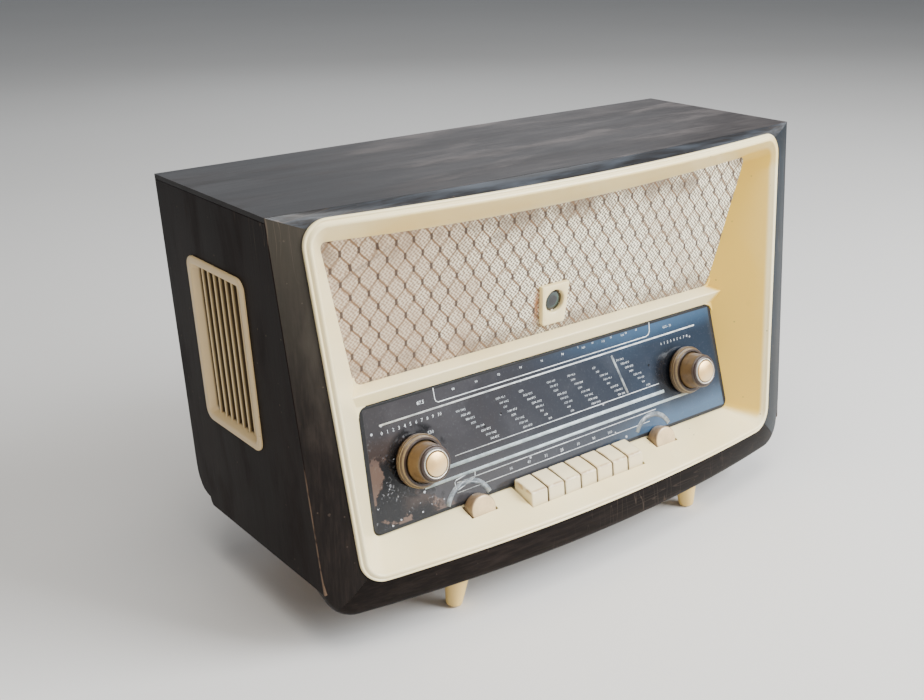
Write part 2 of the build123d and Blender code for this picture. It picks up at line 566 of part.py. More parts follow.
def rear_cover():
    """Pressed hardboard back with slots, a raised middle and an opening for the sockets."""
    low = CASE_BOTTOM + FLOOR + 1
    high = HEIGHT - BOARD - 0.5
    low_half = side_x(low) - BOARD - 0.6
    high_half = side_x(high) - BOARD - 0.6
    outline = Polyline((-low_half, low), (low_half, low), (high_half, high), (-high_half, high), close=True)
    face_y = BACK_Y - 3
    cover = extrude(Plane.XZ.offset(-face_y) * make_face(outline), COVER)
    half, z0, z1 = RAISED
    cover += block(-half, half, face_y - COVER, REAR_Y, z0, z1)
    cover -= block(COVER - half, half - COVER, face_y - 3, REAR_Y - COVER, z0 + COVER, z1 - COVER)
    for z, slots, height, y in ((188, 17, 56, REAR_Y), (262, 17, 56, REAR_Y), (325, 25, 26, face_y)):
        for i in range(slots):
            x = (i - (slots - 1) / 2) * SLOT_PITCH
            cover -= Pos(x, y, z) * Box(SLOT, 4 * COVER, height)
    half, z0, z1 = SOCKET_HOLE
    parts["rear_cover"] = cover - block(-half, half, face_y - 4, face_y + 2, z0, z1)

    panel = block(-half - 4, half + 4, face_y - 5.2, face_y - 3, z0 - 2, z1 + 2)
    for x in SOCKETS_X:
        panel -= Pos(x, face_y - 4, SOCKET_Z) * Rot(90, 0, 0) * Cylinder(SOCKET_R, 12)
    parts["socket_panel"] = panel
    screws = []
    for side in (-1, 1):
        for z in (low + 12, high - 10):
            at = Pos(side * (side_x(z) - BOARD - 12), face_y + 1.25, z) * Rot(90, 0, 0)
            screws.append(at * Cylinder(4, 1.8))
    parts["cover_screws"] = Compound(children=screws)


cabinet()
feet()
fascia()
cloth_front()
dial()
knobs()
keys()
chassis()
tuning_capacitor()
aerial()
speakers()
side_grilles()
rear_cover()

if __name__ == "__main__":
    os.makedirs("parts", exist_ok=True)
    for name, shape in parts.items():
        export_step(shape, f"parts/{name}.step")
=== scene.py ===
"""Looks of a valve table radio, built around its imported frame.

Sizes are in millimetres unless a name says metres.
"""

import json
import logging
import math
import random
from dataclasses import dataclass, field
from enum import Enum
from typing import Callable, Iterable, Sequence

import bmesh
import bpy
from mathutils import Matrix, Vector

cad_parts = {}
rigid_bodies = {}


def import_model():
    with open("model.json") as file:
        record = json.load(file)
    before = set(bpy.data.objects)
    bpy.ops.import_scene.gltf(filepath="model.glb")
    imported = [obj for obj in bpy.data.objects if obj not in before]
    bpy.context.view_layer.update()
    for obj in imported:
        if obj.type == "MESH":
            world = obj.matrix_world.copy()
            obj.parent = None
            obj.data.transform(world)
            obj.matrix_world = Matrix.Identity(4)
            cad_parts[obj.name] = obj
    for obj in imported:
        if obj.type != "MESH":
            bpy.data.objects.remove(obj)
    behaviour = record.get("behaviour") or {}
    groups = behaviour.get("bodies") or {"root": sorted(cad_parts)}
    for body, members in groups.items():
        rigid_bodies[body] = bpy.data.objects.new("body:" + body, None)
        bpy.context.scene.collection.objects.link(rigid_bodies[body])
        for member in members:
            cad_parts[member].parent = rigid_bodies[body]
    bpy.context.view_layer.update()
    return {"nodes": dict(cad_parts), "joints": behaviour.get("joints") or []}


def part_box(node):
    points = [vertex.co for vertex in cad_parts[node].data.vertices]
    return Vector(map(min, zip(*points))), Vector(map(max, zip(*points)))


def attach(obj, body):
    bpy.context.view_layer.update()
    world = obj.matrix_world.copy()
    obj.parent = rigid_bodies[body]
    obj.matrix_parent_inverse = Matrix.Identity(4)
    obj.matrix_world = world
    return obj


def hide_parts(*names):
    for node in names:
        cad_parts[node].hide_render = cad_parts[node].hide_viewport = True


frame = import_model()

MM = 0.001
log = logging.getLogger("radio")

Colour = tuple[float, float, float]
Point = tuple[float, float, float]
Flat = tuple[float, float]
Piece = bpy.types.Object
Material = bpy.types.Material


# ------------------------------------------------------------------ shader maths
class Sig:
    """A value that varies over a surface. Arithmetic on it adds Math nodes."""

    def __init__(self, net: "Net", socket: bpy.types.NodeSocket) -> None:
        """Wraps an output socket of the net's tree."""
        self.net = net
        self.socket = socket

    def __add__(self, other: "Value") -> "Sig":
        """Sum."""
        return self.net.math("ADD", self, other)

    def __sub__(self, other: "Value") -> "Sig":
        """Difference."""
        return self.net.math("SUBTRACT", self, other)

    def __rsub__(self, other: "Value") -> "Sig":
        """Difference, with this value on the right."""
        return self.net.math("SUBTRACT", other, self)

    def __mul__(self, other: "Value") -> "Sig":
        """Product."""
        return self.net.math("MULTIPLY", self, other)

    def __truediv__(self, other: "Value") -> "Sig":
        """Quotient."""
        return self.net.math("DIVIDE", self, other)

    def __abs__(self) -> "Sig":
        """Size without sign."""
        return self.net.math("ABSOLUTE", self)

    def __pow__(self, other: "Value") -> "Sig":
        """Power."""
        return self.net.math("POWER", self, other)

    __radd__ = __add__
    __rmul__ = __mul__

    def sin(self) -> "Sig":
        """Sine, in radians."""
        return self.net.math("SINE", self)

    def fract(self) -> "Sig":
        """Fractional part."""
        return self.net.math("FRACT", self)

    def least(self, other: "Value") -> "Sig":
        """The smaller of two values."""
        return self.net.math("MINIMUM", self, other)

    def most(self, other: "Value") -> "Sig":
        """The larger of two values."""
        return self.net.math("MAXIMUM", self, other)

    def rise(self, low: float, high: float) -> "Sig":
        """Smooth step from 0 at low to 1 at high; low may be above high."""
        inputs = {"Value": self, "From Min": low, "From Max": high, "To Min": 0.0, "To Max": 1.0}
        return self.net.node("ShaderNodeMapRange", {"interpolation_type": "SMOOTHSTEP"}, inputs)

    def near(self, centre: float, width: float) -> "Sig":
        """1 at centre, falling to 0 at width on both sides."""
        return abs(self - centre).rise(width, 0.0)

    def other(self, output: int | str) -> "Sig":
        """Another output of the same node."""
        return Sig(self.net, self.socket.node.outputs[output])


Value = Sig | float


class Net:
    """Node tree of one material. One method makes any node."""

    def __init__(self, name: str) -> None:
        """Starts an empty material.

        Args:
            name: name of the material.
        """
        self.material = bpy.data.materials.new(name)
        self.material.use_nodes = True
        self.tree = self.material.node_tree
        self.tree.nodes.clear()
        self.position = self.node("ShaderNodeTexCoord", output="Object")
        self.x = self.node("ShaderNodeSeparateXYZ", None, {0: self.position})
        self.y, self.z = self.x.other(1), self.x.other(2)

    def made(self, kind: str, settings: dict | None = None,
             inputs: dict | None = None) -> bpy.types.Node:
        """Makes a node.

        Args:
            kind: Blender's type name of the node.
            settings: its properties, set first.
            inputs: socket name or index to a value or a Sig.

        Returns:
            The node.
        """
        node = self.tree.nodes.new(kind)
        for key, value in (settings or {}).items():
            setattr(node, key, value)
        for key, value in (inputs or {}).items():
            self.feed(node.inputs[key], value)
        return node

    def node(self, kind: str, settings: dict | None = None, inputs: dict | None = None,
             output: int | str = 0) -> Sig:
        """One output of a new node; the other arguments are those of made."""
        return Sig(self, self.made(kind, settings, inputs).outputs[output])

    def feed(self, socket: bpy.types.NodeSocket, value: object) -> None:
        """Fills a socket.

        Args:
            socket: input of a node.
            value: a Sig that is linked to it, or a constant that is set on it.
        """
        if isinstance(value, Sig):
            self.tree.links.new(value.socket, socket)
        elif socket.type == "RGBA" and len(value) == 3:
            socket.default_value = (*value, 1.0)
        else:
            socket.default_value = value

    def math(self, operation: str, first: Value, second: Value = 0.0) -> Sig:
        """Math node on one or two values."""
        return self.node("ShaderNodeMath", {"operation": operation}, {0: first, 1: second})

    def mix(self, factor: Value, first: object, second: object) -> Sig:
        """Colour between first and second."""
        return self.node("ShaderNodeMix", {"data_type": "RGBA"}, {0: factor, 6: first, 7: second}, 2)

    def layers(self, ground: object, *coats: tuple[Value, object]) -> Sig:
        """Colour of a ground under coats, each given as its mask and its colour."""
        for mask, colour in coats:
            ground = self.mix(mask, ground, colour)
        return ground

    def stretched(self, scale: Point, turn: float = 0.0) -> Sig:
        """Object coordinates scaled by axis, after a turn about Y in degrees."""
        mapping = {"Rotation": (0.0, math.radians(turn), 0.0), "Scale": scale, "Vector": self.position}
        return self.node("ShaderNodeMapping", {"vector_type": "POINT"}, mapping)

    def noise(self, scale: float, detail: float = 3.0, vector: Sig | None = None,
              roughness: float = 0.5, distortion: float = 0.0) -> Sig:
        """Noise.

        Args:
            scale: features per metre.
            detail: octaves.
            vector: coordinates, where they aren't the piece's own.
            roughness: strength of the finer octaves.
            distortion: how far the pattern is swirled.

        Returns:
            A value in 0 to 1.
        """
        inputs = {"Vector": vector or self.position, "Scale": scale, "Detail": detail,
                  "Roughness": roughness, "Distortion": distortion}
        return self.node("ShaderNodeTexNoise", None, inputs)

    def specks(self, scale: float, size: float, share: float) -> Sig:
        """Round dots at random places.

        Args:
            scale: cells per metre.
            size: radius of a dot as a share of its cell.
            share: the higher, the more cells have one.

        Returns:
            Mask of the dots.
        """
        inputs = {"Vector": self.position, "Scale": scale}
        cells = self.node("ShaderNodeTexVoronoi", None, inputs, "Distance")
        chance = self.node("ShaderNodeSeparateColor", None, {0: cells.other("Color")})
        return cells.rise(size, size * 0.6) * chance.rise(share, share * 0.98)

    def scratches(self, scale: float, stretch: Point, turn: float, width: float) -> Sig:
        """Thin broken lines along one direction.

        Args:
            scale: lines per metre, about.
            stretch: stretch of their pattern along the axes.
            turn: turn of that pattern about Y, in degrees.
            width: how thick they are.

        Returns:
            Mask of the lines.
        """
        lines = self.noise(scale, 1.0, self.stretched(stretch, turn))
        breaks = self.noise(scale * 0.35, 2.0).rise(0.56, 0.66)
        return abs(lines - 0.5).rise(width, width * 0.3) * breaks

    def bump(self, height: Value, strength: float, distance_mm: float) -> Sig:
        """Normal from a height between 0 and 1 that stands for distance_mm."""
        inputs = {"Strength": strength, "Distance": distance_mm * MM, "Height": height}
        return self.node("ShaderNodeBump", None, inputs)

    def finish(self, **sockets: object) -> Material:
        """Ends the tree with a Principled shader.

        Args:
            sockets: its sockets by name, with spaces written as underscores.

        Returns:
            The material.
        """
        inputs = {key.replace("_", " "): value for key, value in sockets.items()}
        shader = self.node("ShaderNodeBsdfPrincipled", None, inputs)
        self.made("ShaderNodeOutputMaterial", None, {"Surface": shader})
        return self.material


# ------------------------------------------------------------------ planes and edges
@dataclass(frozen=True)
class Sloped:
    """A plane square to the YZ plane: x along the set, v up the plane, w out of it."""

    y: float
    z: float
    lean: float

    @property
    def up(self) -> Vector:
        """Direction of v."""
        return Vector((0, math.sin(self.lean), math.cos(self.lean)))

    @property
    def out(self) -> Vector:
        """Direction of w, towards a person facing the set."""
        return Vector((0, -math.cos(self.lean), math.sin(self.lean)))

    def at(self, x: float, v: float, w: float = 0.0) -> Vector:
        """Point of the plane in the frame, in millimetres."""
        return Vector((x, self.y, self.z)) + self.up * v + self.out * w

    def y_at(self, z: float) -> float:
        """y of the plane at height z."""
        return self.y + math.tan(self.lean) * (z - self.z)

    def place(self, x: float, v: float) -> Matrix:
        """Matrix that puts a piece made about Z at x, v, in metres."""
        turn = Matrix((Vector((1, 0, 0)), self.up, self.out)).transposed().to_4x4()
        return Matrix.Translation(self.at(x, v) * MM) @ turn

    def coordinates(self, net: Net) -> tuple[Sig, Sig]:
        """x and v over a surface, in millimetres, as shader values."""
        up = self.up
        v = (net.y / MM - self.y) * up.y + (net.z / MM - self.z) * up.z
        return net.x / MM, v


@dataclass(frozen=True)
class BowedEdge:
    """A level edge whose middle stands forward of its ends."""

    half: float
    y: float
    z: float
    bow: float


@dataclass(frozen=True)
class RuledFront:
    """Surface between two bowed edges, with rounded corners in front view."""

    top: BowedEdge
    bottom: BowedEdge
    top_round: float
    bottom_round: float

    def y_at(self, x: float, z: float) -> float:
        """Depth of the surface.

        Args:
            x: place along the set.
            z: height.

        Returns:
            y of the surface there.
        """
        s = (self.top.z - z) / (self.top.z - self.bottom.z)
        half = mix(self.top.half, self.bottom.half, s)
        bow = mix(self.top.bow, self.bottom.bow, s)
        return mix(self.top.y, self.bottom.y, s) - bow * (1 - (x / half) ** 2)

    def loop(self, inset: float = 0.0, reach: float = 0.0) -> list[list[Flat]]:
        """Front-view outline.

        Args:
            inset: how far it is inset on all sides.
            reach: passed on to rounded_sides.

        Returns:
            One list of points for each side.
        """
        run = (self.top.half - self.bottom.half) / (self.top.z - self.bottom.z)
        high, low = self.top.z - inset, self.bottom.z + inset
        wide = self.top.half - inset - run * inset
        narrow = self.bottom.half - inset + run * inset
        corners = [(-wide, high), (wide, high), (narrow, low), (-narrow, low)]
        radii = [max(r - inset, 0.0) for r in (self.top_round,) * 2 + (self.bottom_round,) * 2]
        return rounded_sides(corners, radii, reach)


def mix(a: float, b: float, t: float) -> float:
    """Number between a and b."""
    return a + (b - a) * t


TINY = 1e-6
ARC_STEPS = 5
SIDE_STEPS = 26


def rounded_sides(corners: Sequence[Flat], radii: Sequence[float], reach: float = 0.0) -> list[list[Flat]]:
    """Outline of a clockwise quadrilateral with rounded corners.

    Args:
        corners: front-view corners, from the top left one clockwise.
        radii: rounding of each corner.
        reach: where a corner is sharp, how far its share of the points reaches along the sides.

    Returns:
        For each side, the points from the middle of one corner to the middle of the next.
    """
    points = [Vector(c) for c in corners]
    entries, exits = [], []
    for k, corner in enumerate(points):
        before = (corner - points[k - 1]).normalized()
        after = (points[(k + 1) % 4] - corner).normalized()
        turn = before.angle(after)
        if radii[k] == 0.0:
            entries.append([corner - before * reach * (1 - j / ARC_STEPS) for j in range(ARC_STEPS + 1)])
            exits.append([corner + after * reach * j / ARC_STEPS for j in range(ARC_STEPS + 1)])
            continue
        start = corner - before * radii[k] * math.tan(turn / 2)
        centre = start + Vector((before.y, -before.x)) * radii[k]
        arc = []
        for j in range(2 * ARC_STEPS + 1):
            angle = -turn * j / (2 * ARC_STEPS)
            arm = start - centre
            arc.append(centre + Vector((arm.x * math.cos(angle) - arm.y * math.sin(angle),
                                        arm.x * math.sin(angle) + arm.y * math.cos(angle))))
        entries.append(arc[:ARC_STEPS + 1])
        exits.append(arc[ARC_STEPS:])
    sides = []
    for k in range(4):
        start, end = exits[k][-1], entries[(k + 1) % 4][0]
        straight = [start.lerp(end, j / SIDE_STEPS) for j in range(1, SIDE_STEPS)]
        sides.append([(p.x, p.y) for p in exits[k] + straight + entries[(k + 1) % 4]])
    return sides


def ring(sides: Sequence[Sequence[Flat]]) -> list[Flat]:
    """The four sides' points as one closed loop, without the shared corner points."""
    return [p for side in sides for p in side[:-1]]


# ------------------------------------------------------------------ meshes and modifier stacks
def placed(name: str, data: bpy.types.ID) -> Piece:
    """New object of the scene with that data."""
    made = bpy.data.objects.new(name, data)
    bpy.context.scene.collection.objects.link(made)
    return made


def evaluated(piece: Piece) -> bpy.types.Mesh:
    """New mesh of what an object looks like under its modifiers."""
    depsgraph = bpy.context.evaluated_depsgraph_get()
    return bpy.data.meshes.new_from_object(piece.evaluated_get(depsgraph), depsgraph=depsgraph)


def box_of(node: str) -> tuple[Vector, Vector]:
    """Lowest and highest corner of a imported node's box, in millimetres."""
    low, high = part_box(node)
    return low / MM, high / MM


def across(y: float, z: float, x: float) -> Point:
    """Point of the frame from a side-view point and its x."""
    return x, y, z


def cage(name: str, points: Iterable[Sequence[float]], faces: Iterable[Sequence[int]]) -> Piece:
    """Smooth-shaded mesh object.

    Args:
        name: name of the piece.
        points: its points in millimetres.
        faces: its faces as indices of points.

    Returns:
        The piece.
    """
    mesh = bpy.data.meshes.new(name)
    mesh.from_pydata([tuple(c * MM for c in p) for p in points], [], [tuple(f) for f in faces])
    mesh.shade_smooth()
    return placed(name, mesh)


def tube_faces(count: int, loops: int, closed: bool) -> list[tuple[int, ...]]:
    """Quads between successive loops.

    Args:
        count: points in each loop.
        loops: how many loops there are.
        closed: whether the last loop joins the first.

    Returns:
        The faces, as indices of points.
    """
    faces = []
    for a in range(loops if closed else loops - 1):
        b = (a + 1) % loops
        for i in range(count):
            j = (i + 1) % count
            faces.append((a * count + i, a * count + j, b * count + j, b * count + i))
    return faces


def modify(piece: Piece, kind: str, **settings: object) -> bpy.types.Modifier:
    """Adds a modifier with its settings.

    Args:
        piece: the piece.
        kind: Blender's type name of the modifier.
        settings: its properties.

    Returns:
        The modifier.
    """
    modifier = piece.modifiers.new(kind.title(), kind)
    for key, value in settings.items():
        setattr(modifier, key, value)
    return modifier


def bevel(piece: Piece, width: float, segments: int = 2, angle: float = 35.0) -> None:
    """Rounds the edges that turn by more than angle degrees."""
    modify(piece, "BEVEL", width=width * MM, segments=segments, limit_method="ANGLE",
           angle_limit=math.radians(angle), harden_normals=True, use_clamp_overlap=True)


def subdivide(piece: Piece, levels: int) -> None:
    """Subdivision surface, the same in the viewport and the render."""
    modify(piece, "SUBSURF", levels=levels, render_levels=levels)


def apply_stack(piece: Piece, place: Matrix | None = None) -> Piece:
    """Replaces the mesh by what its modifiers make of it.

    Args:
        piece: the piece.
        place: where its mesh is then moved, in metres.

    Returns:
        The same piece.
    """
    mesh = evaluated(piece)
    piece.modifiers.clear()
    piece.data = mesh
    if place is not None:
        mesh.transform(place)
    return piece


def outward(piece: Piece, merge_mm: float = 0.01) -> Piece:
    """Merges doubles and turns the faces of closed shells outwards.

    Args:
        piece: the piece.
        merge_mm: distance under which points are merged.

    Returns:
        The same piece.
    """
    shell = bmesh.new()
    shell.from_mesh(piece.data)
    bmesh.ops.remove_doubles(shell, verts=shell.verts, dist=merge_mm * MM)
    bmesh.ops.recalc_face_normals(shell, faces=shell.faces)
    shell.to_mesh(piece.data)
    shell.free()
    return piece


def joined(name: str, pieces: Sequence[Piece]) -> Piece:
    """One piece from several.

    Args:
        name: name of the new piece.
        pieces: pieces that are joined and removed.

    Returns:
        The new piece.
    """
    merged = bmesh.new()
    for piece in pieces:
        apply_stack(piece)
        merged.from_mesh(piece.data)
        bpy.data.objects.remove(piece)
    made = cage(name, [], [])
    merged.to_mesh(made.data)
    merged.free()
    return made


def turned(name: str, profile: Sequence[Flat], place: Matrix, steps: int = 96, edge: float = 0.35,
           closed: bool = False) -> Piece:
    """Turned piece.

    Args:
        name: name of the piece.
        profile: (radius, height) from top to bottom.
        place: where its own Z axis goes, in metres.
        steps: steps of the turn.
        edge: rounding of its sharp edges.
        closed: whether the profile's last point joins its first.

    Returns:
        The piece, in place.
    """
    piece = cage(name, [], [])
    edges = [(i, i + 1) for i in range(len(profile) - 1)]
    edges += [(len(profile) - 1, 0)] if closed else []
    piece.data.from_pydata([(r * MM, 0.0, h * MM) for r, h in profile], edges, [])
    modify(piece, "SCREW", steps=steps, render_steps=steps, use_merge_vertices=True,
           merge_threshold=0.01 * MM, use_smooth_shade=True)
    if edge:
        bevel(piece, edge)
    return outward(apply_stack(piece, place))


def slab(name: str, outline: Sequence[Flat], at: Callable[[float, float, float], Sequence[float]],
         low: float, high: float, edge: float = 0.5, segments: int = 2) -> Piece:
    """Flat piece with rounded edges.

    Args:
        name: name of the piece.
        outline: its outline as flat points.
        at: turns a flat point and a height into a point of the frame.
        low: height of its back.
        high: height of its front.
        edge: rounding of its edges.
        segments: steps of that rounding.

    Returns:
        The piece, with its stack live.
    """
    count = len(outline)
    points = [at(a, b, low) for a, b in outline] + [at(a, b, high) for a, b in outline]
    faces = [tuple(range(count)), tuple(range(2 * count - 1, count - 1, -1))] + tube_faces(count, 2, False)
    piece = outward(cage(name, points, faces))
    bevel(piece, edge, segments)
    return piece


def pierced(name: str, outer: Sequence[Flat], inner: Sequence[Flat],
            at: Callable[[float, float], Sequence[float]]) -> Piece:
    """Sheet between an outline and a hole in it, facing along +X.

    Args:
        name: name of the piece.
        outer: the outline as flat points.
        inner: the hole as flat points.
        at: turns a flat point into a point of the frame.

    Returns:
        The piece.
    """
    sheet = bmesh.new()
    edges = []
    for loop in (outer, inner):
        corners = [sheet.verts.new(tuple(c * MM for c in at(a, b))) for a, b in loop]
        following = corners[1:] + corners[:1]
        edges += [sheet.edges.new(pair) for pair in zip(corners, following)]
    bmesh.ops.triangle_fill(sheet, use_beauty=True, edges=edges)
    bmesh.ops.recalc_face_normals(sheet, faces=sheet.faces)
    if sum(face.normal.x for face in sheet.faces) < 0:
        bmesh.ops.reverse_faces(sheet, faces=sheet.faces)
    piece = cage(name, [], [])
    sheet.to_mesh(piece.data)
    sheet.free()
    return piece


def mirrored(piece: Piece, name: str) -> Piece:
    """Mirror image of a finished piece in the set's middle plane.

    Args:
        piece: the piece, which stays.
        name: name of the image.

    Returns:
        The image.
    """
    mesh = piece.data.copy()
    mesh.transform(Matrix.Diagonal((-1, 1, 1, 1)))
    mesh.flip_normals()
    return placed(name, mesh)


def fit_out(piece: Piece, body: str, slot: str, finish: Material,
            *nodes: str) -> Piece:
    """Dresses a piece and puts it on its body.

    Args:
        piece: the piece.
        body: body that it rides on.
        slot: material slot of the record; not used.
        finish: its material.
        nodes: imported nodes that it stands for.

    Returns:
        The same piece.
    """
    piece.data.materials.clear()
    piece.data.materials.append(finish)
    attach(piece, body)
    if nodes:
        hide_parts(*nodes)
    log.info("%s: %d faces, rides on %s", piece.name, len(piece.data.polygons), body)
    return piece


def axis_of(joint: str) -> tuple[Vector, Vector]:
    """Place in millimetres and direction of a joint's axis."""
    found = next(j for j in frame["joints"] if j["name"] == joint)
    return Vector(found["pos_m"]) / MM, Vector(found["axis"])


# ------------------------------------------------------------------ shared surfaces
KNOB_AXIS, KNOB_DIRECTION = axis_of("volume_turn")
DIAL = Sloped(KNOB_AXIS.y, KNOB_AXIS.z, math.atan2(-KNOB_DIRECTION.z, KNOB_DIRECTION.y))
BAR_TOP, BAR_LOW = 209.5, 191.6
CLOTH = Sloped(-45.2, BAR_TOP, -math.atan2(10.2, 128.5))
CREASE_SLOPE = 0.42
CASE = RuledFront(BowedEdge(295.0, -64.0, 369.0, 13.5), BowedEdge(279.3, -98.8, 37.0, 29.2), 0.0, 26.0)
RIM = RuledFront(BowedEdge(272.0, -74.9, 364.3, 23.1), BowedEdge(250.0, -109.0, 63.7, 18.4), 21.0, 23.0)
LIP_DEPTH = 4.0
SIDE_LEAN = 0.1047
WALL_FOOT, WALL_TURN, WALL_SPLAY = 213.1, 0.901, 0.1792
KEY_PITCH, KEY_WIDTH = 20.0, 18.8


def side_front_y(z: Value) -> Value:
    """y of a side board's front edge at height z."""
    return CASE.top.y - SIDE_LEAN * (CASE.top.z - z)


def wall_x(y: Value, z: Value) -> Value:
    """x of the fascia's right-hand inner wall at y, z."""
    return WALL_FOOT - WALL_TURN * (y - CLOTH.y) + WALL_SPLAY * (z - CLOTH.z)


def up_dial(point: Vector) -> float:
    """Height of a point of the frame up the dial."""
    return (point - Vector((0, DIAL.y, DIAL.z))).dot(DIAL.up)


def side_x(z: float) -> float:
    """Outside of the right-hand side of the case at height z."""
    return mix(CASE.bottom.half, CASE.top.half, (z - CASE.bottom.z) / (CASE.top.z - CASE.bottom.z))


# ------------------------------------------------------------------ finishes
class Grain(Enum):
    """Which way veneer runs, as the stretch of its pattern along the axes."""

    ACROSS = (1.0, 16.0, 16.0)
    UPRIGHT = (16.0, 16.0, 1.0)

    def eased(self, share: float) -> Point:
        """The stretch at a share of its strength."""
        return tuple(1 + (c - 1) * share for c in self.value)

    def crossed(self) -> Point:
        """A stretch square to the grain."""
        return tuple(1.0 if c > 1 else 14.0 for c in self.value)


def scaled(colour: Colour, share: float) -> Colour:
    """Colour made darker or lighter."""
    return tuple(c * share for c in colour)


@dataclass(frozen=True)
class Lacquer:
    """Dark worn lacquer over stained veneer."""

    name: str
    grain: Grain
    base: Colour = (0.0075, 0.0050, 0.0042)
    streak: Colour = (0.024, 0.0165, 0.0135)
    worn: Colour = (0.15, 0.105, 0.075)
    faded: Colour = (0.105, 0.092, 0.070)
    raw: Colour = (0.20, 0.13, 0.085)
    haze: float = 0.35
    coat: float = 0.3
    shine: float = 0.35
    streaky: float = 0.03
    faded_top: float = 0.0
    dim_left: float = 0.0
    crack: bool = False

    def make(self) -> Material:
        """Builds the material.

        Returns:
            Grain, smudges, scratches and chips, and whichever is asked for of a painted highlight towards
            the top, painted shade towards the left and a crack.
        """
        net = Net(self.name)
        along = net.stretched(self.grain.value)
        fibres = net.noise(26.0, 6.0, along, 0.65)
        broad = net.noise(3.5, 4.0, net.stretched(self.grain.eased(0.12)))
        smudge = net.noise(8.0, 5.0, net.stretched(self.grain.eased(0.18)), 0.6, 0.3).rise(0.47, 0.74)
        marks = net.scratches(7.0, self.grain.crossed(), 18.0, 0.008) * 0.5
        marks = marks.most(net.scratches(9.0, self.grain.value, -9.0, 0.012) * 0.35)
        marks = marks.most(net.specks(75.0, 0.07, 0.95) * 0.35)
        chips = net.noise(95.0, 3.0).rise(0.72, 0.76) * net.noise(8.0, 2.0).rise(0.55, 0.65)
        colour = net.layers(self.base, (fibres.rise(0.35, 0.75), self.streak),
                            (broad.rise(0.42, 0.7) * 0.55, scaled(self.base, 0.45)),
                            (smudge * self.haze, scaled(self.streak, 2.1)),
                            (marks, self.worn), (chips * 0.6, self.worn))
        # Painted highlight: the colour is made lighter towards the top.
        if self.faded_top:
            top_highlight_mask = (net.z / MM + smudge * 60.0).rise(170.0, 400.0) * self.faded_top
            colour = net.mix(top_highlight_mask, colour, self.faded)
        # Painted shade: the colour is made darker towards the left.
        if self.dim_left:
            dim = (net.x / MM + 40.0).rise(0.0, -190.0) * self.dim_left
            colour = net.mix(dim, colour, scaled(self.base, 0.3))
        if self.crack:
            gap = (net.y / MM - side_front_y(net.z / MM)).near(0.6, 1.1)
            gap = gap * (net.z / MM - 178.0).rise(10.0, -30.0)
            colour = net.mix(gap * net.noise(60.0, 3.0).rise(0.35, 0.5), colour, self.raw)
        streaks = net.noise(2.2, 5.0, along, 0.6).rise(0.38, 0.66)
        roughness = 0.30 + smudge * 0.14 + fibres * 0.1 + marks * 0.2 + streaks * self.streaky
        height = fibres * 0.5 + net.noise(320.0, 2.0) * 0.12 - marks * 0.5 - chips
        return net.finish(Base_Color=colour, Roughness=roughness, Coat_Weight=self.coat,
                          Coat_Roughness=0.22, Specular_IOR_Level=self.shine,
                          Normal=net.bump(height, 0.25, 0.5))


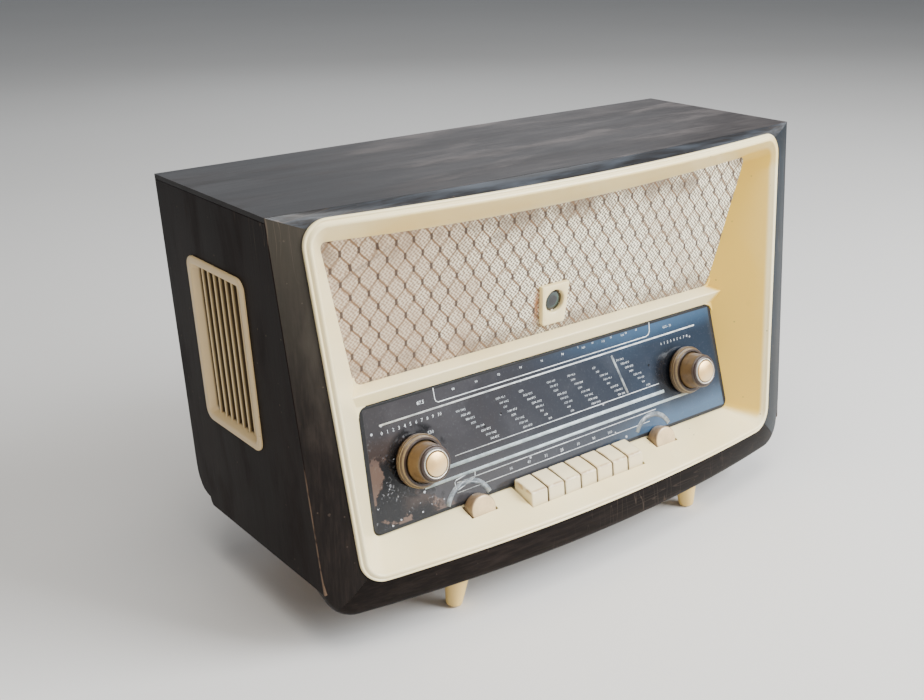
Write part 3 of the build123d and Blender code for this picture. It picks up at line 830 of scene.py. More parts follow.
@dataclass(frozen=True)
class Ivory:
    """Old ivory moulding, yellower and with painted shade on the parts facing away from the window side."""

    name: str = "ivory_moulding"
    pale: Colour = (0.95, 0.82, 0.49)
    amber: Colour = (0.82, 0.535, 0.085)
    grime: Colour = (0.20, 0.13, 0.07)
    rubbed: Colour = (0.42, 0.25, 0.09)
    shaded: Colour = (0.075, 0.045, 0.025)
    # Colour of the painted shade deep in the side grilles.
    deep: Colour = (0.050, 0.028, 0.015)
    aged_right: bool = False
    yellow: float = 0.0
    shaded_below: float | None = None
    worn_edges: float | None = None

    def aged_parts(self, net: Net) -> Sig:
        """Yellowing and painted shade of the fascia's right wall and roof, which face away from the light.

        Args:
            net: net of the material.

        Returns:
            Mask of the yellowing and painted shade.
        """
        x, y, z = (c / MM for c in (net.x, net.y, net.z))
        # Painted shade and yellowing: the right wall, facing away from the window light, and the underside
        # of the roof are tinted amber.
        wall = (x - wall_x(y, z)).rise(-9.0, 0.0) * (y + 116.2 - z * 0.1134).rise(1.5, 5.5)
        roof = (z - 330.0).rise(-4.0, 10.0) * (362.0 - z).rise(0.0, 6.0) * (x + 240.0).rise(0.0, 60.0)
        return wall * (x - 190.0).rise(0.0, 10.0) + roof * 0.5

    def rubbed_keys(self, net: Net, colour: Sig) -> Sig:
        """Wear of the keys, and painted shade between them.

        Args:
            net: net of the material.
            colour: colour before the wear.

        Returns:
            The colour, worn brown along the keys' edges and with painted shade on their flanks between them.
        """
        x, z = net.x / MM, net.z / MM
        along = ((x - self.worn_edges) / KEY_PITCH).fract() * KEY_PITCH
        front = (net.y / MM + 102.2).near(0.0, 2.4)
        edge = along.near(0.0, 2.6).most(along.near(KEY_WIDTH, 2.6)).most(front)
        edge = edge * (z - 86.5).rise(-1.0, 1.5) * net.noise(150.0, 3.0).rise(0.3, 0.6)
        # Painted shade on the keys' flanks, in the gaps between them.
        flank = along.near(0.0, 0.6).most(along.near(KEY_WIDTH, 0.6)) * (x - self.worn_edges).rise(1.0, 1.5)
        return net.layers(colour, (edge * 0.75, self.rubbed), (flank * 0.9, self.shaded))

    def make(self) -> Material:
        """Builds the material.

        Returns:
            Blotched ivory with the yellowing, and whichever is asked for of painted shade on the right wall
            and roof, worn key edges with painted shade between the keys, and painted shade deep in the side
            grilles.
        """
        net = Net(self.name)
        blotch = net.noise(9.0, 4.0, None, 0.55, 0.4)
        yellowing_and_shade = blotch.rise(0.35, 0.8) * 0.22 + self.yellow
        if self.aged_right:
            yellowing_and_shade = yellowing_and_shade + self.aged_parts(net)
        colour = net.mix(yellowing_and_shade.least(1.0), self.pale, self.amber)
        if self.worn_edges is not None:
            colour = self.rubbed_keys(net, colour)
        dirt = net.noise(40.0, 6.0, None, 0.7).rise(0.62, 0.85) * 0.16
        dirt = dirt.most(net.specks(55.0, 0.06, 0.86) * 0.55)
        # Painted shade: faces set back in the side grilles darken with depth.
        if self.shaded_below is not None:
            surface = (net.z / MM - CASE.bottom.z) * 0.0473 + CASE.bottom.half
            sunk = (abs(net.x / MM) - surface - self.shaded_below).rise(0.0, -2.4)
            colour = net.mix(sunk * 0.93, colour, self.deep)
        scuffs = net.scratches(11.0, (1.0, 9.0, 9.0), 14.0, 0.01)
        height = net.noise(900.0, 2.0) * 0.2 + blotch * 0.5 - scuffs * 0.4
        return net.finish(Base_Color=net.mix(dirt, colour, self.grime),
                          Roughness=0.29 + blotch * 0.12 + scuffs * 0.15 + dirt * 0.4,
                          Coat_Weight=0.2, Coat_Roughness=0.2, Subsurface_Weight=0.06,
                          Subsurface_Radius=(0.9, 0.6, 0.3), Subsurface_Scale=0.002,
                          Normal=net.bump(height, 0.18, 0.25))


@dataclass(frozen=True)
class GrilleCloth:
    """Cream cloth with brown threads that meet in upright knots."""

    name: str = "grille_cloth"
    column: float = 17.6
    row: float = 25.8
    first: Flat = (23.7, 114.4)
    knot: float = 2.7
    tip: float = 1.5
    warp_pitch: float = 4.3
    weft_pitch: float = 3.9
    ground: Colour = (1.0, 0.94, 0.74)
    shade: Colour = (0.155, 0.12, 0.075)
    soiled: Colour = (0.37, 0.25, 0.16)
    grime: Colour = (0.15, 0.105, 0.07)
    rust: Colour = (0.34, 0.12, 0.03)
    thread: Colour = (0.165, 0.085, 0.035)
    knot_colour: Colour = (0.045, 0.022, 0.012)

    def lattice(self, x: Sig, v: Sig, wander: Sig) -> tuple[Sig, Sig]:
        """Masks of the slanted threads and of the knots where they meet.

        Args:
            x: place along the cloth.
            v: place up the cloth.
            wander: how far the pattern has shifted.

        Returns:
            The threads' mask and the knots' mask.
        """
        u = (x + wander + v * 0.03 - self.first[0]) / self.column
        t = (v - wander - (x + 60.0).rise(0.0, -140.0) * 3.2 - self.first[1]) / self.row
        across, along = (u + 0.5).fract() - 0.5, (t + 0.5).fract() - 0.5
        fu, ft = abs(across), abs(along)
        tip = self.tip / self.row
        curve = (fu * (4 * math.pi)).sin() * 0.012
        off_line = abs(ft - (fu * (1 - 4 * tip) + tip) - curve) * (self.row * 0.6)
        falling = (across * along).rise(0.004, -0.004)
        ends = self.knot + 0.6, self.knot - 0.6
        upper = (fu - 0.25).rise(0.01, -0.01) * (ft * self.row).rise(*ends)
        lower = (fu - 0.25).rise(-0.01, 0.01) * ((0.5 - ft) * self.row).rise(*ends)
        near_u = fu.least(0.5 - fu) * self.column
        return off_line.rise(1.2, 0.4) * (0.70 + falling * 0.25), near_u.rise(1.9, 1.0) * upper.most(lower)

    def dirt(self, net: Net, x: Sig, v: Sig, wander: Sig) -> Sig:
        """Mask of the grime along the edges, and of the painted shadow along the crease.

        Args:
            net: net of the material.
            x: place along the cloth.
            v: place up the cloth.
            wander: how far the pattern has shifted.

        Returns:
            The mask.
        """
        top_edge = (v - 94.0).rise(0.0, 22.0) * net.noise(30.0, 4.0).rise(0.40, 0.62)
        top_dark = (x + 60.0).near(0.0, 85.0) * (v - 88.0).rise(0.0, 20.0)
        low_edge = (v - 27.0).rise(0.0, -20.0) * net.noise(26.0, 4.0).rise(0.38, 0.6) * 0.9
        # Painted shadow along the lower side of the cloth's crease.
        crease = (v - 97.0 - (x + 222.0) * CREASE_SLOPE + wander * 2.0).near(0.0, 3.2)
        crease = crease * (x + 236.0).rise(0.0, 12.0) * (x + 162.0).rise(0.0, -24.0) * 0.8
        return top_edge.most(top_dark * net.noise(45.0, 4.0).rise(0.40, 0.6)).most(low_edge).most(crease)

    def make(self) -> Material:
        """Builds the material.

        Returns:
            Weave, soil, rust beside the eye, threads and knots.
        """
        net = Net(self.name)
        x, v = CLOTH.coordinates(net)
        wander = (net.noise(22.0, 2.0) - 0.5) * 2.2
        lines, knots = self.lattice(x, v, wander)
        warp = (x * (math.pi * 2 / self.warp_pitch) + (v * (math.pi / 3.4)).sin() * 0.8).sin()
        weft = (v * (math.pi * 2 / self.weft_pitch)).sin()
        fibre = warp * weft * 0.62 + 0.48 + (net.noise(430.0, 1.0) - 0.5) * 0.9
        soil = net.noise(15.0, 4.0, None, 0.6).rise(0.40, 0.75) * 0.5
        soil = soil + (x + 80.0).rise(80.0, -100.0) * 0.95 * net.noise(9.0, 3.0).rise(0.12, 0.62)
        soil = soil + (x + 70.0).rise(0.0, -130.0) * (v - 62.0).rise(0.0, -40.0) * 0.5
        rust = (x + 18.5).near(0.0, 5.0) * (v - 29.0).near(0.0, 27.0) * net.noise(60.0, 3.0).rise(0.2, 0.5)
        # The grime colour also carries the painted crease shadow.
        colour = net.layers(self.shade, (fibre.rise(0.32, 0.62), self.ground),
                            (soil.least(1.0) * 0.75, self.soiled),
                            (self.dirt(net, x, v, wander) * 0.75, self.grime), (rust * 0.9, self.rust),
                            (lines, self.thread), (knots * 0.95, self.knot_colour))
        height = fibre * 0.6 + lines * 0.3 + knots * 0.9
        return net.finish(Base_Color=colour, Roughness=0.86, Sheen_Weight=0.25, Sheen_Roughness=0.5,
                          Normal=net.bump(height, 0.3, 0.4))


@dataclass(frozen=True)
class DialPaint:
    """Back-painted dial glass, blue-grey, flaking at its lower left."""

    name: str = "dial_glass"
    warm: Colour = (0.038, 0.036, 0.039)
    cool: Colour = (0.017, 0.027, 0.044)
    sky: Colour = (0.052, 0.104, 0.180)
    black: Colour = (0.004, 0.004, 0.005)
    bare: Colour = (0.15, 0.095, 0.072)
    crumb: Colour = (0.30, 0.31, 0.34)
    speck: Colour = (0.60, 0.62, 0.66)
    sunk: Colour = (0.02, 0.045, 0.09)
    dust: Colour = (0.30, 0.32, 0.35)

    def sky_mask(self, net: Net, x: Sig, v: Sig) -> Sig:
        """Where a bluish sky reflection is painted on the glass.

        Args:
            net: net of the material.
            x: place along the dial.
            v: place up the dial.

        Returns:
            Mask of it, above and below at the right, and in drifts.
        """
        # Painted reflection: bluer patches above, below at the right and in drifts.
        high = (v - 34.0).rise(0.0, 26.0) * (x + 60.0).rise(0.0, 190.0)
        low = (v + 22.0).rise(0.0, -26.0) * (x - 30.0).rise(0.0, 110.0)
        drift = net.noise(7.0, 4.0, None, 0.55, 0.6).rise(0.5, 0.75) * 0.35
        return ((high.most(low) * 0.9 + drift) * (x + 150.0).rise(0.0, 200.0)).least(0.85)

    def flaked(self, net: Net, x: Sig, v: Sig, colour: Sig) -> Sig:
        """Colour of the glass with its lower left flaked.

        Args:
            net: net of the material.
            x: place along the dial.
            v: place up the dial.
            colour: colour before the damage.

        Returns:
            The colour with bare, black and crumbling patches, and specks all over.
        """
        flakes = net.noise(60.0, 6.0, None, 0.7) - 0.5
        corner = (x + 176.0).rise(26.0, -16.0) * (v - 22.0).rise(12.0, -22.0)
        worn = corner.most((x + 140.0).rise(25.0, -25.0) * (v + 30.0).rise(12.0, -14.0))
        peeled = (net.noise(22.0, 4.0) + flakes * 0.5).rise(0.43, 0.49) * worn
        gone = net.noise(24.0, 4.0, net.stretched((1.0, 1.0, 1.0), 70.0)) + flakes * 0.6
        gone = gone.rise(0.45, 0.49) * worn
        dull = (x + 168.0).rise(6.0, -30.0) * (v - 34.0).rise(4.0, -14.0) * 0.35
        crumbs = net.noise(420.0, 3.0).rise(0.56, 0.62) * net.noise(38.0, 2.0).rise(0.52, 0.60)
        ring = ((x - KNOB_AXIS.x) * (x - KNOB_AXIS.x) + v * v) / 900.0
        halo = ring.rise(1.3, 0.9) * (net.noise(70.0, 4.0) + (x + 165.0) / -160.0).rise(0.35, 0.5)
        dots = (net.specks(170.0, 0.22, 0.62) * worn).most(net.specks(60.0, 0.10, 0.88))
        dotted = net.mix(net.noise(200.0).rise(0.45, 0.55), self.black, self.speck)
        return net.layers(colour, (peeled, self.bare), (dull, self.black), (gone, self.black),
                          (crumbs * gone.most(peeled) * 0.7, self.crumb), (halo * 0.85, self.black),
                          (dots * 0.8, dotted))

    def make(self) -> Material:
        """Builds the material.

        Returns:
            Clouded glass with a painted sky reflection, the right knob's painted shadow and reflection, the
            flaked corner, a black rim and dust.
        """
        net = Net(self.name)
        x, v = DIAL.coordinates(net)
        cloud = net.noise(14.0, 5.0, None, 0.6, 0.8)
        # Painted shadow and dark reflection of the right knob on the glass.
        shade = ((x - 146.0) * (x - 146.0) + (v - 2.0) * (v - 2.0)) ** 0.5
        cooler = (x / 430 + 0.5 + (cloud - 0.5) * 0.5).rise(0.1, 0.95)
        colour = net.layers(self.warm, (cooler, self.cool),
                            (cloud.rise(0.48, 0.8) * 0.5, scaled(self.warm, 2.0)),
                            (self.sky_mask(net, x, v), self.sky), (shade.rise(34.0, 14.0) * 0.9, self.black))
        low_edge = (v + 51.0).rise(3.5, 0.0) * net.noise(45.0, 3.0).rise(0.4, 0.6)
        rim = (abs(x) - 216.2 + v * 0.0567).rise(-4.4, -3.4).most((v + 51.4).rise(3.4, 2.6))
        rim = rim.most((57.4 - v).rise(2.6, 1.9))
        dust = net.noise(500.0, 2.0).rise(0.55, 0.8) * 0.06
        colour = net.layers(self.flaked(net, x, v, colour), (low_edge, self.sunk), (rim, self.black),
                            (dust, self.dust))
        return net.finish(Base_Color=colour, Roughness=0.12 + cloud * 0.12 + dust * 0.8 + rim * 0.5,
                          Coat_Weight=0.3, Coat_Roughness=0.06, Specular_IOR_Level=0.3,
                          Normal=net.bump(cloud, 0.05, 0.4))


@dataclass(frozen=True)
class Ink:
    """Pale screen print, rubbed thin in places."""

    name: str
    colour: Colour
    dim: Colour

    def make(self) -> Material:
        """Builds the material.

        Returns:
            Ink that shows more or less of its full colour.
        """
        net = Net(self.name)
        rub = net.noise(90.0, 4.0, None, 0.65).rise(0.38, 0.62)
        grain = net.noise(900.0, 2.0) * 0.35
        colour = net.mix((rub * 0.75 + grain).least(1.0), self.dim, self.colour)
        return net.finish(Base_Color=colour, Roughness=0.3 + grain * 0.5, Coat_Weight=0.4,
                          Coat_Roughness=0.1)


@dataclass(frozen=True)
class BrownMoulding:
    """Olive-brown moulding of a knob, coloured by distance from its axis and height on it."""

    name: str
    centre_x: float
    base: Colour = (0.165, 0.100, 0.042)
    dark: Colour = (0.022, 0.012, 0.008)
    skirt: Colour = (0.050, 0.026, 0.010)
    step: Colour = (0.040, 0.019, 0.013)
    rim: Colour = (0.50, 0.38, 0.22)
    nose: Colour = (0.050, 0.030, 0.026)
    # Pale colour painted on a small knob's end face as a highlight.
    face: Colour = (0.82, 0.60, 0.32)
    face_from: float | None = None
    centre_v: float = 0.0

    def stepped(self, net: Net, colour: Sig, radius: Sig, w: Sig) -> Sig:
        """Colour of a large knob: dark skirt and steps, painted shade in the gap between ring and body, pale
        rims, dark nose.

        Args:
            net: net of the material.
            colour: colour before them.
            radius: distance from the axis.
            w: height over the dial.

        Returns:
            The colour with them.
        """
        brown = radius.rise(21.8, 21.3) * radius.rise(19.0, 19.4) * (w - 8.6).rise(-0.3, 0.3)
        # Painted shade in the gap between the ring and the knob body.
        recess = (w - 9.4).rise(2.6, 1.4) * (radius - 20.2).rise(0.4, -0.2) * (w - 4.0).rise(0.0, 1.0)
        rims = (w - 6.9).near(0.0, 0.5) + (radius - 21.5).near(0.0, 0.45) + (w - 4.5).near(0.0, 0.5)
        return net.layers(colour, (radius.rise(18.8, 19.3) * 0.75, self.skirt), (brown * 0.85, self.step),
                          (recess * 0.9, self.dark), (rims.least(1.0) * 0.55, self.rim),
                          ((w - 24.4).rise(-0.3, 0.6) * 0.85, self.nose))

    def make(self) -> Material:
        """Builds the material.

        Returns:
            A large knob's steps, or a small knob's end face painted pale as a highlight, where its height is
            given.
        """
        net = Net(self.name)
        x, v = DIAL.coordinates(net)
        w = (net.y / MM - DIAL.y) * DIAL.out.y + (net.z / MM - DIAL.z) * DIAL.out.z
        dx, dv = x - self.centre_x, v - self.centre_v
        radius = (dx * dx + dv * dv) ** 0.5
        cloud = net.noise(80.0, 4.0, None, 0.6)
        colour = net.mix(cloud.rise(0.3, 0.75), self.base, scaled(self.base, 0.72))
        if self.face_from is None:
            colour = self.stepped(net, colour, radius, w)
        colour = net.mix(net.noise(260.0, 3.0).rise(0.55, 0.7) * 0.3, colour, self.dark)
        # Painted highlight: the small knob's end face is painted pale.
        if self.face_from is not None:
            lit_face = (w - self.face_from).rise(-0.15, 0.15) * (12.6 - radius).rise(-0.4, 0.4)
            face = net.mix(cloud.rise(0.3, 0.7), self.face, scaled(self.face, 0.78))
            colour = net.mix(lit_face, colour, face)
        height = cloud * 0.4 + net.noise(700.0, 2.0) * 0.25
        return net.finish(Base_Color=colour, Roughness=0.30 + cloud * 0.15, Coat_Weight=0.35,
                          Coat_Roughness=0.15, Normal=net.bump(height, 0.2, 0.2))


@dataclass(frozen=True)
class SpunMetal:
    """Spun champagne metal with turning lines about its axis, a dark groove and a bright trim."""

    name: str
    centre_x: float
    base: Colour = (0.93, 0.60, 0.25)
    stained: Colour = (0.76, 0.50, 0.24)
    lit: Colour = (0.95, 0.84, 0.62)
    bright: Colour = (0.95, 0.93, 0.88)
    dark: Colour = (0.035, 0.020, 0.016)
    cap: float = 10.35
    trim: Flat = (11.5, 12.6)

    def make(self) -> Material:
        """Builds the material.

        Returns:
            Metal, with the groove and the seat outside the trim as dark plastic.
        """
        net = Net(self.name)
        x, v = DIAL.coordinates(net)
        dx = x - self.centre_x
        radius = (dx * dx + v * v) ** 0.5
        lines = (radius * 9.0 + net.noise(60.0, 2.0)).sin() * 0.5 + 0.5
        stain = net.noise(120.0, 4.0, None, 0.6)
        inner, outer = self.trim
        plastic = radius.rise(self.cap, self.cap + 0.15) * radius.rise(inner, inner - 0.15)
        plastic = plastic.most(radius.rise(outer, outer + 0.15))
        colour = net.layers(self.base, (stain.rise(0.42, 0.75) * 0.5, self.stained),
                            ((v - dx * 0.4).rise(2.0, -10.0) * 0.4, self.lit),
                            (radius.rise(self.cap, self.cap + 0.2), self.bright), (plastic, self.dark))
        return net.finish(Base_Color=colour, Roughness=0.24 + lines * 0.12 + stain * 0.15,
                          Metallic=1.0 - plastic, Normal=net.bump(lines, 0.12, 0.05))


@dataclass(frozen=True)
class EyeGlass:
    """Dark glass of the magic eye, with its faint green target behind it."""

    centre: float
    name: str = "eye_glass"
    target: Colour = (0.030, 0.060, 0.052)
    cap: Colour = (0.006, 0.006, 0.007)
    haze: Colour = (0.10, 0.11, 0.13)

    def make(self) -> Material:
        """Builds the material.

        Returns:
            Dark glass, with the target as a fan about the eye's axis.
        """
        net = Net(self.name)
        x, v = CLOTH.coordinates(net)
        dv = v - self.centre
        radius = (x * x + dv * dv) ** 0.5
        cloud = net.noise(150.0, 3.0)
        fan = (x / (abs(dv) + 2.0)).rise(-0.4, 0.8)
        colour = net.layers(self.cap, (radius.near(6.2, 2.6) * (0.35 + fan * 0.65), self.target),
                            (cloud.rise(0.5, 0.8) * 0.2, self.haze))
        return net.finish(Base_Color=colour, Roughness=0.06 + cloud * 0.06, Coat_Weight=0.3,
                          Coat_Roughness=0.03)


class Texture(Enum):
    """Kinds of surface of the works and the back: scale, stretch and depth of their grain."""

    BRUSHED = (140.0, (1.0, 1.0, 22.0), 0.14)
    LAMINATED = (420.0, (8.0, 0.2, 0.2), 0.35)
    FIBRES = (260.0, (1.0, 1.0, 1.0), 0.60)
    MOULDED = (500.0, (1.0, 1.0, 1.0), 0.15)


@dataclass(frozen=True)
class Stock:
    """Plain stock material with blotches, dust and a fine texture."""

    name: str
    texture: Texture
    base: Colour
    second: Colour
    roughness: float = 0.5
    metallic: float = 0.0
    dust: float = 0.25
    dust_colour: Colour = (0.30, 0.27, 0.23)

    def make(self) -> Material:
        """Builds the material.

        Returns:
            The stock's two tints and texture, dusty in patches.
        """
        net = Net(self.name)
        scale, stretch, depth = self.texture.value
        fine = net.noise(scale, 4.0, net.stretched(stretch), 0.6)
        blotch = net.noise(22.0, 4.0, None, 0.6, 0.5)
        dust = net.noise(60.0, 5.0, None, 0.7).rise(0.5, 0.75) * self.dust
        colour = net.layers(self.base, ((fine * 0.6 + blotch * 0.4).rise(0.35, 0.65), self.second),
                            (dust, self.dust_colour))
        return net.finish(Base_Color=colour, Roughness=self.roughness + (blotch - 0.5) * 0.2 + dust * 0.5,
                          Metallic=self.metallic * (1 - dust), Normal=net.bump(fine, depth, 0.4))


@dataclass(frozen=True)
class BlownGlass:
    """Clear glass bulb with a silvered getter patch at its top."""

    name: str = "valve_glass"
    getter_z: float = 152.0
    clear: Colour = (0.10, 0.12, 0.12)
    silver: Colour = (0.55, 0.55, 0.56)
    dust: Colour = (0.25, 0.22, 0.18)

    def make(self) -> Material:
        """Builds the material.

        Returns:
            Glass that is clear below the getter patch.
        """
        net = Net(self.name)
        cloud = net.noise(70.0, 4.0)
        silver = (net.z / MM + cloud * 8.0 - self.getter_z).rise(-3.0, 8.0)
        colour = net.layers(self.clear, (silver, self.silver),
                            (net.noise(30.0, 5.0).rise(0.5, 0.8) * 0.3, self.dust))
        return net.finish(Base_Color=colour, Roughness=0.08 + cloud * 0.1, Metallic=silver * 0.7,
                          Alpha=0.55 + silver * 0.4, Coat_Weight=0.6)


@dataclass(frozen=True)
class PaleFloor:
    """Plain pale studio floor."""

    name: str = "pale_floor"
    tints: tuple[Colour, Colour] = ((0.70, 0.68, 0.65), (0.76, 0.745, 0.72))

    def make(self) -> Material:
        """Builds the material from two close tints."""
        net = Net(self.name)
        colour = net.mix(net.noise(1.2, 3.0), *self.tints)
        return net.finish(Base_Color=colour, Roughness=0.7 + net.noise(40.0) * 0.1)


# ------------------------------------------------------------------ wooden case
@dataclass
class Cabinet:
    """Wooden case: top board, two sides and the four mitred lengths of the front frame."""

    board: float = 12.0
    top_cap: float = 4.0
    back: float = 123.3
    floor: float = 62.2
    rear_foot: tuple[Flat, ...] = (
        (0.0, 20.0), (0.7, 14.6), (2.6, 9.9), (5.9, 5.9), (9.9, 2.6), (14.6, 0.7), (20.0, 0.0))
    chipped_foot: tuple[Flat, ...] = (
        (0.0, 34.0), (0.6, 27.0), (2.4, 20.5), (5.6, 14.8), (10.0, 10.6), (15.5, 8.4), (20.5, 7.6),
        (21.3, 5.0), (22.6, 2.2), (24.6, 0.0))
    grille_cut: float = 6.0
    face_steps: int = 4
    face_crown: float = 0.9
    tuck: float = 1.5
    names: tuple[str, ...] = ("frame_rail_top", "frame_stile_right", "frame_rail_bottom",
                              "frame_stile_left")
    top_steps: int = 48

    def build(self) -> None:
        """Builds and dresses every piece of the case."""
        # Painted reflection: the top's grey base and strong haze stand for the sheen of the pale wall behind
        # it, and its left is painted darker as shade.
        top = Lacquer("lacquer_top", Grain.ACROSS, base=(0.034, 0.030, 0.030),
                      streak=(0.082, 0.073, 0.071), haze=0.6, coat=0.0, shine=0.12, streaky=0.06,
                      dim_left=0.8).make()
        rail = Lacquer("lacquer_rails", Grain.ACROSS, base=(0.0055, 0.0038, 0.0032),
                       streak=(0.017, 0.0118, 0.0096), worn=(0.07, 0.050, 0.037), haze=0.25, coat=0.0,
                       shine=0.08).make()
        # The left stile's top is painted lighter as a highlight.
        stile = Lacquer("lacquer_stile_left", Grain.UPRIGHT, base=(0.0052, 0.0034, 0.0028),
                        streak=(0.0145, 0.0098, 0.0078), haze=0.25, coat=0.02, shine=0.12,
                        faded_top=0.34).make()
        # Painted reflection: the right stile's bluish base and streaks stand for the window light it
        # reflects.
        far_stile_blue_sheen = Lacquer("lacquer_stile_right", Grain.UPRIGHT, base=(0.0055, 0.0075, 0.0095),
                            streak=(0.014, 0.021, 0.029), coat=0.1, shine=0.2).make()
        # Painted reflection: the top rail's bluish streaks stand for the blue window light it reflects.
        top_rail_blue_sheen = Lacquer("lacquer_top_rail", Grain.ACROSS, streak=(0.036, 0.044, 0.056), haze=0.5,
                           coat=0.55, shine=0.6).make()
        upright = Lacquer("lacquer_sides", Grain.UPRIGHT, base=(0.0065, 0.0033, 0.0030),
                          streak=(0.0110, 0.0060, 0.0050), haze=0.15, coat=0.0, shine=0.06,
                          crack=True).make()
        fit_out(self.top_panel(), "case", "dark_lacquer", top, "top_panel")
        right = apply_stack(self.side_panel("case_side_right", self.rear_foot))
        whole = apply_stack(self.side_panel("case_side_cut", self.chipped_foot))
        left = mirrored(whole, "case_side_left")
        bpy.data.objects.remove(whole)
        fit_out(right, "case", "dark_lacquer", upright, "side_panel_right")
        fit_out(left, "case", "dark_lacquer", upright, "side_panel_left")
        for side, finish in enumerate((top_rail_blue_sheen, far_stile_blue_sheen, rail, stile)):
            node = self.names[side]
            fit_out(self.frame_length(side, node), "case", "dark_lacquer", finish, node)

    def top_panel(self) -> Piece:
        """Top board.

        Returns:
            The board, full width in its upper layer and let in between the sides below it.
        """
        low, high = (c.z for c in box_of("top_panel"))
        front = CASE.top
        steps = self.top_steps

        def outline(half: float) -> list[Flat]:
            """Outline of a layer, with a bowed front and a straight back."""
            xs = [mix(-half, half, i / steps) for i in range(steps + 1)]
            bowed = [(x, front.y - front.bow * (1 - (x / front.half) ** 2)) for x in xs]
            return bowed + [(half, self.back), (-half, self.back)]

        wide, narrow = front.half - 0.2, front.half - self.board - 0.3
        layers = [(wide, high), (wide, high - self.top_cap), (narrow, high - self.top_cap), (narrow, low)]
        points = [(x, y, z) for half, z in layers for x, y in outline(half)]
        count = steps + 3
        faces = tube_faces(count, 4, False)
        faces += [tuple(range(count)), tuple(range(4 * count - 1, 3 * count - 1, -1))]
        piece = outward(cage("case_top", points, faces))
        bevel(piece, 0.9, 3)
        return piece

    def side_panel(self, name: str, foot: Sequence[Flat]) -> Piece:
        """Right-hand side board with the opening for the grille.

        Args:
            name: name of the piece.
            foot: points of its rear lower corner, forwards and upwards from the square corner.

        Returns:
            The board, with its stack live.
        """
        high = CASE.top.z - self.top_cap - 0.15
        front_high, front_low = side_front_y(high), side_front_y(self.floor)
        outline = [(front_low, self.floor), (front_high, high), (self.back, high)]
        outline += [(self.back - dy, self.floor + dz) for dy, dz in foot]
        low, top = box_of("side_grille_right")
        cut = self.grille_cut
        hole = [(low.y + cut, low.z + cut), (top.y - cut, low.z + cut), (top.y - cut, top.z - cut),
                (low.y + cut, top.z - cut)]
        piece = pierced(name, outline, hole, lambda y, z: (side_x(z), y, z))
        modify(piece, "SOLIDIFY", thickness=self.board * MM, offset=-1.0, use_even_offset=True)
        bevel(piece, 0.8, 3)
        return piece

    def frame_length(self, side: int, name: str) -> Piece:
        """One mitred length of the front frame, from the middle of one corner to the next.

        Args:
            side: which length, from the top one clockwise.
            name: node that it stands for.

        Returns:
            The length, with its stack live.
        """
        outer = CASE.loop(reach=26.0)[side]
        inner = RIM.loop(self.tuck)[side]
        points: list[Point] = []
        for (ox, oz), (ix, iz) in zip(outer, inner):
            points += self.section(Vector((ox, CASE.y_at(ox, oz), oz)),
                                   Vector((ix, RIM.y_at(ix, iz) + LIP_DEPTH, iz)))
        count = len(points) // len(outer)
        faces = tube_faces(count, len(outer), False)
        faces += [tuple(range(count)), tuple(range(len(points) - 1, len(points) - 1 - count, -1))]
        piece = outward(cage(f"front_{name[6:]}", points, faces))
        bevel(piece, 0.45, 2, 40.0)
        return piece

    def section(self, outer: Vector, inner: Vector) -> list[Point]:
        """Section of the frame.

        Args:
            outer: point of the case's edge.
            inner: point under the fascia's lip.

        Returns:
            Points of the section, from the back round the roll to the lip.
        """
        under = smooth((78.0 - outer.z) / 20.0)
        inward = Vector((inner.x - outer.x, 0, inner.z - outer.z)).normalized()
        swept = Vector((outer.x * 0.985, outer.y + 46.0, outer.z + 9.0))
        back = (outer + inward * self.board).lerp(swept, under)
        face = (inner - outer).normalized()
        flank = (back - outer).normalized()
        roll = 1.0 + 5.5 * under
        points = [back]
        for j in range(5):
            t = j / 4
            points.append((outer + flank * roll) * (1 - t) ** 2 + outer * 2 * t * (1 - t)
                          + (outer + face * roll) * t ** 2)
        crown = face.cross(Vector((inner.z - outer.z, 0, outer.x - inner.x))).normalized()
        crown = crown if crown.y < 0 else -crown
        for j in range(1, self.face_steps + 1):
            t = j / self.face_steps
            bulge = 4 * t * (1 - t) * self.face_crown
            points.append((outer + face * roll).lerp(inner, t) + crown * bulge)
        points.append(inner + inward * 1.5 + Vector((0, 5.0, 0)))
        return [tuple(p) for p in points]


def smooth(t: float) -> float:
    """Smooth step of t between 0 and 1."""
    t = min(max(t, 0.0), 1.0)
    return t * t * (3 - 2 * t)


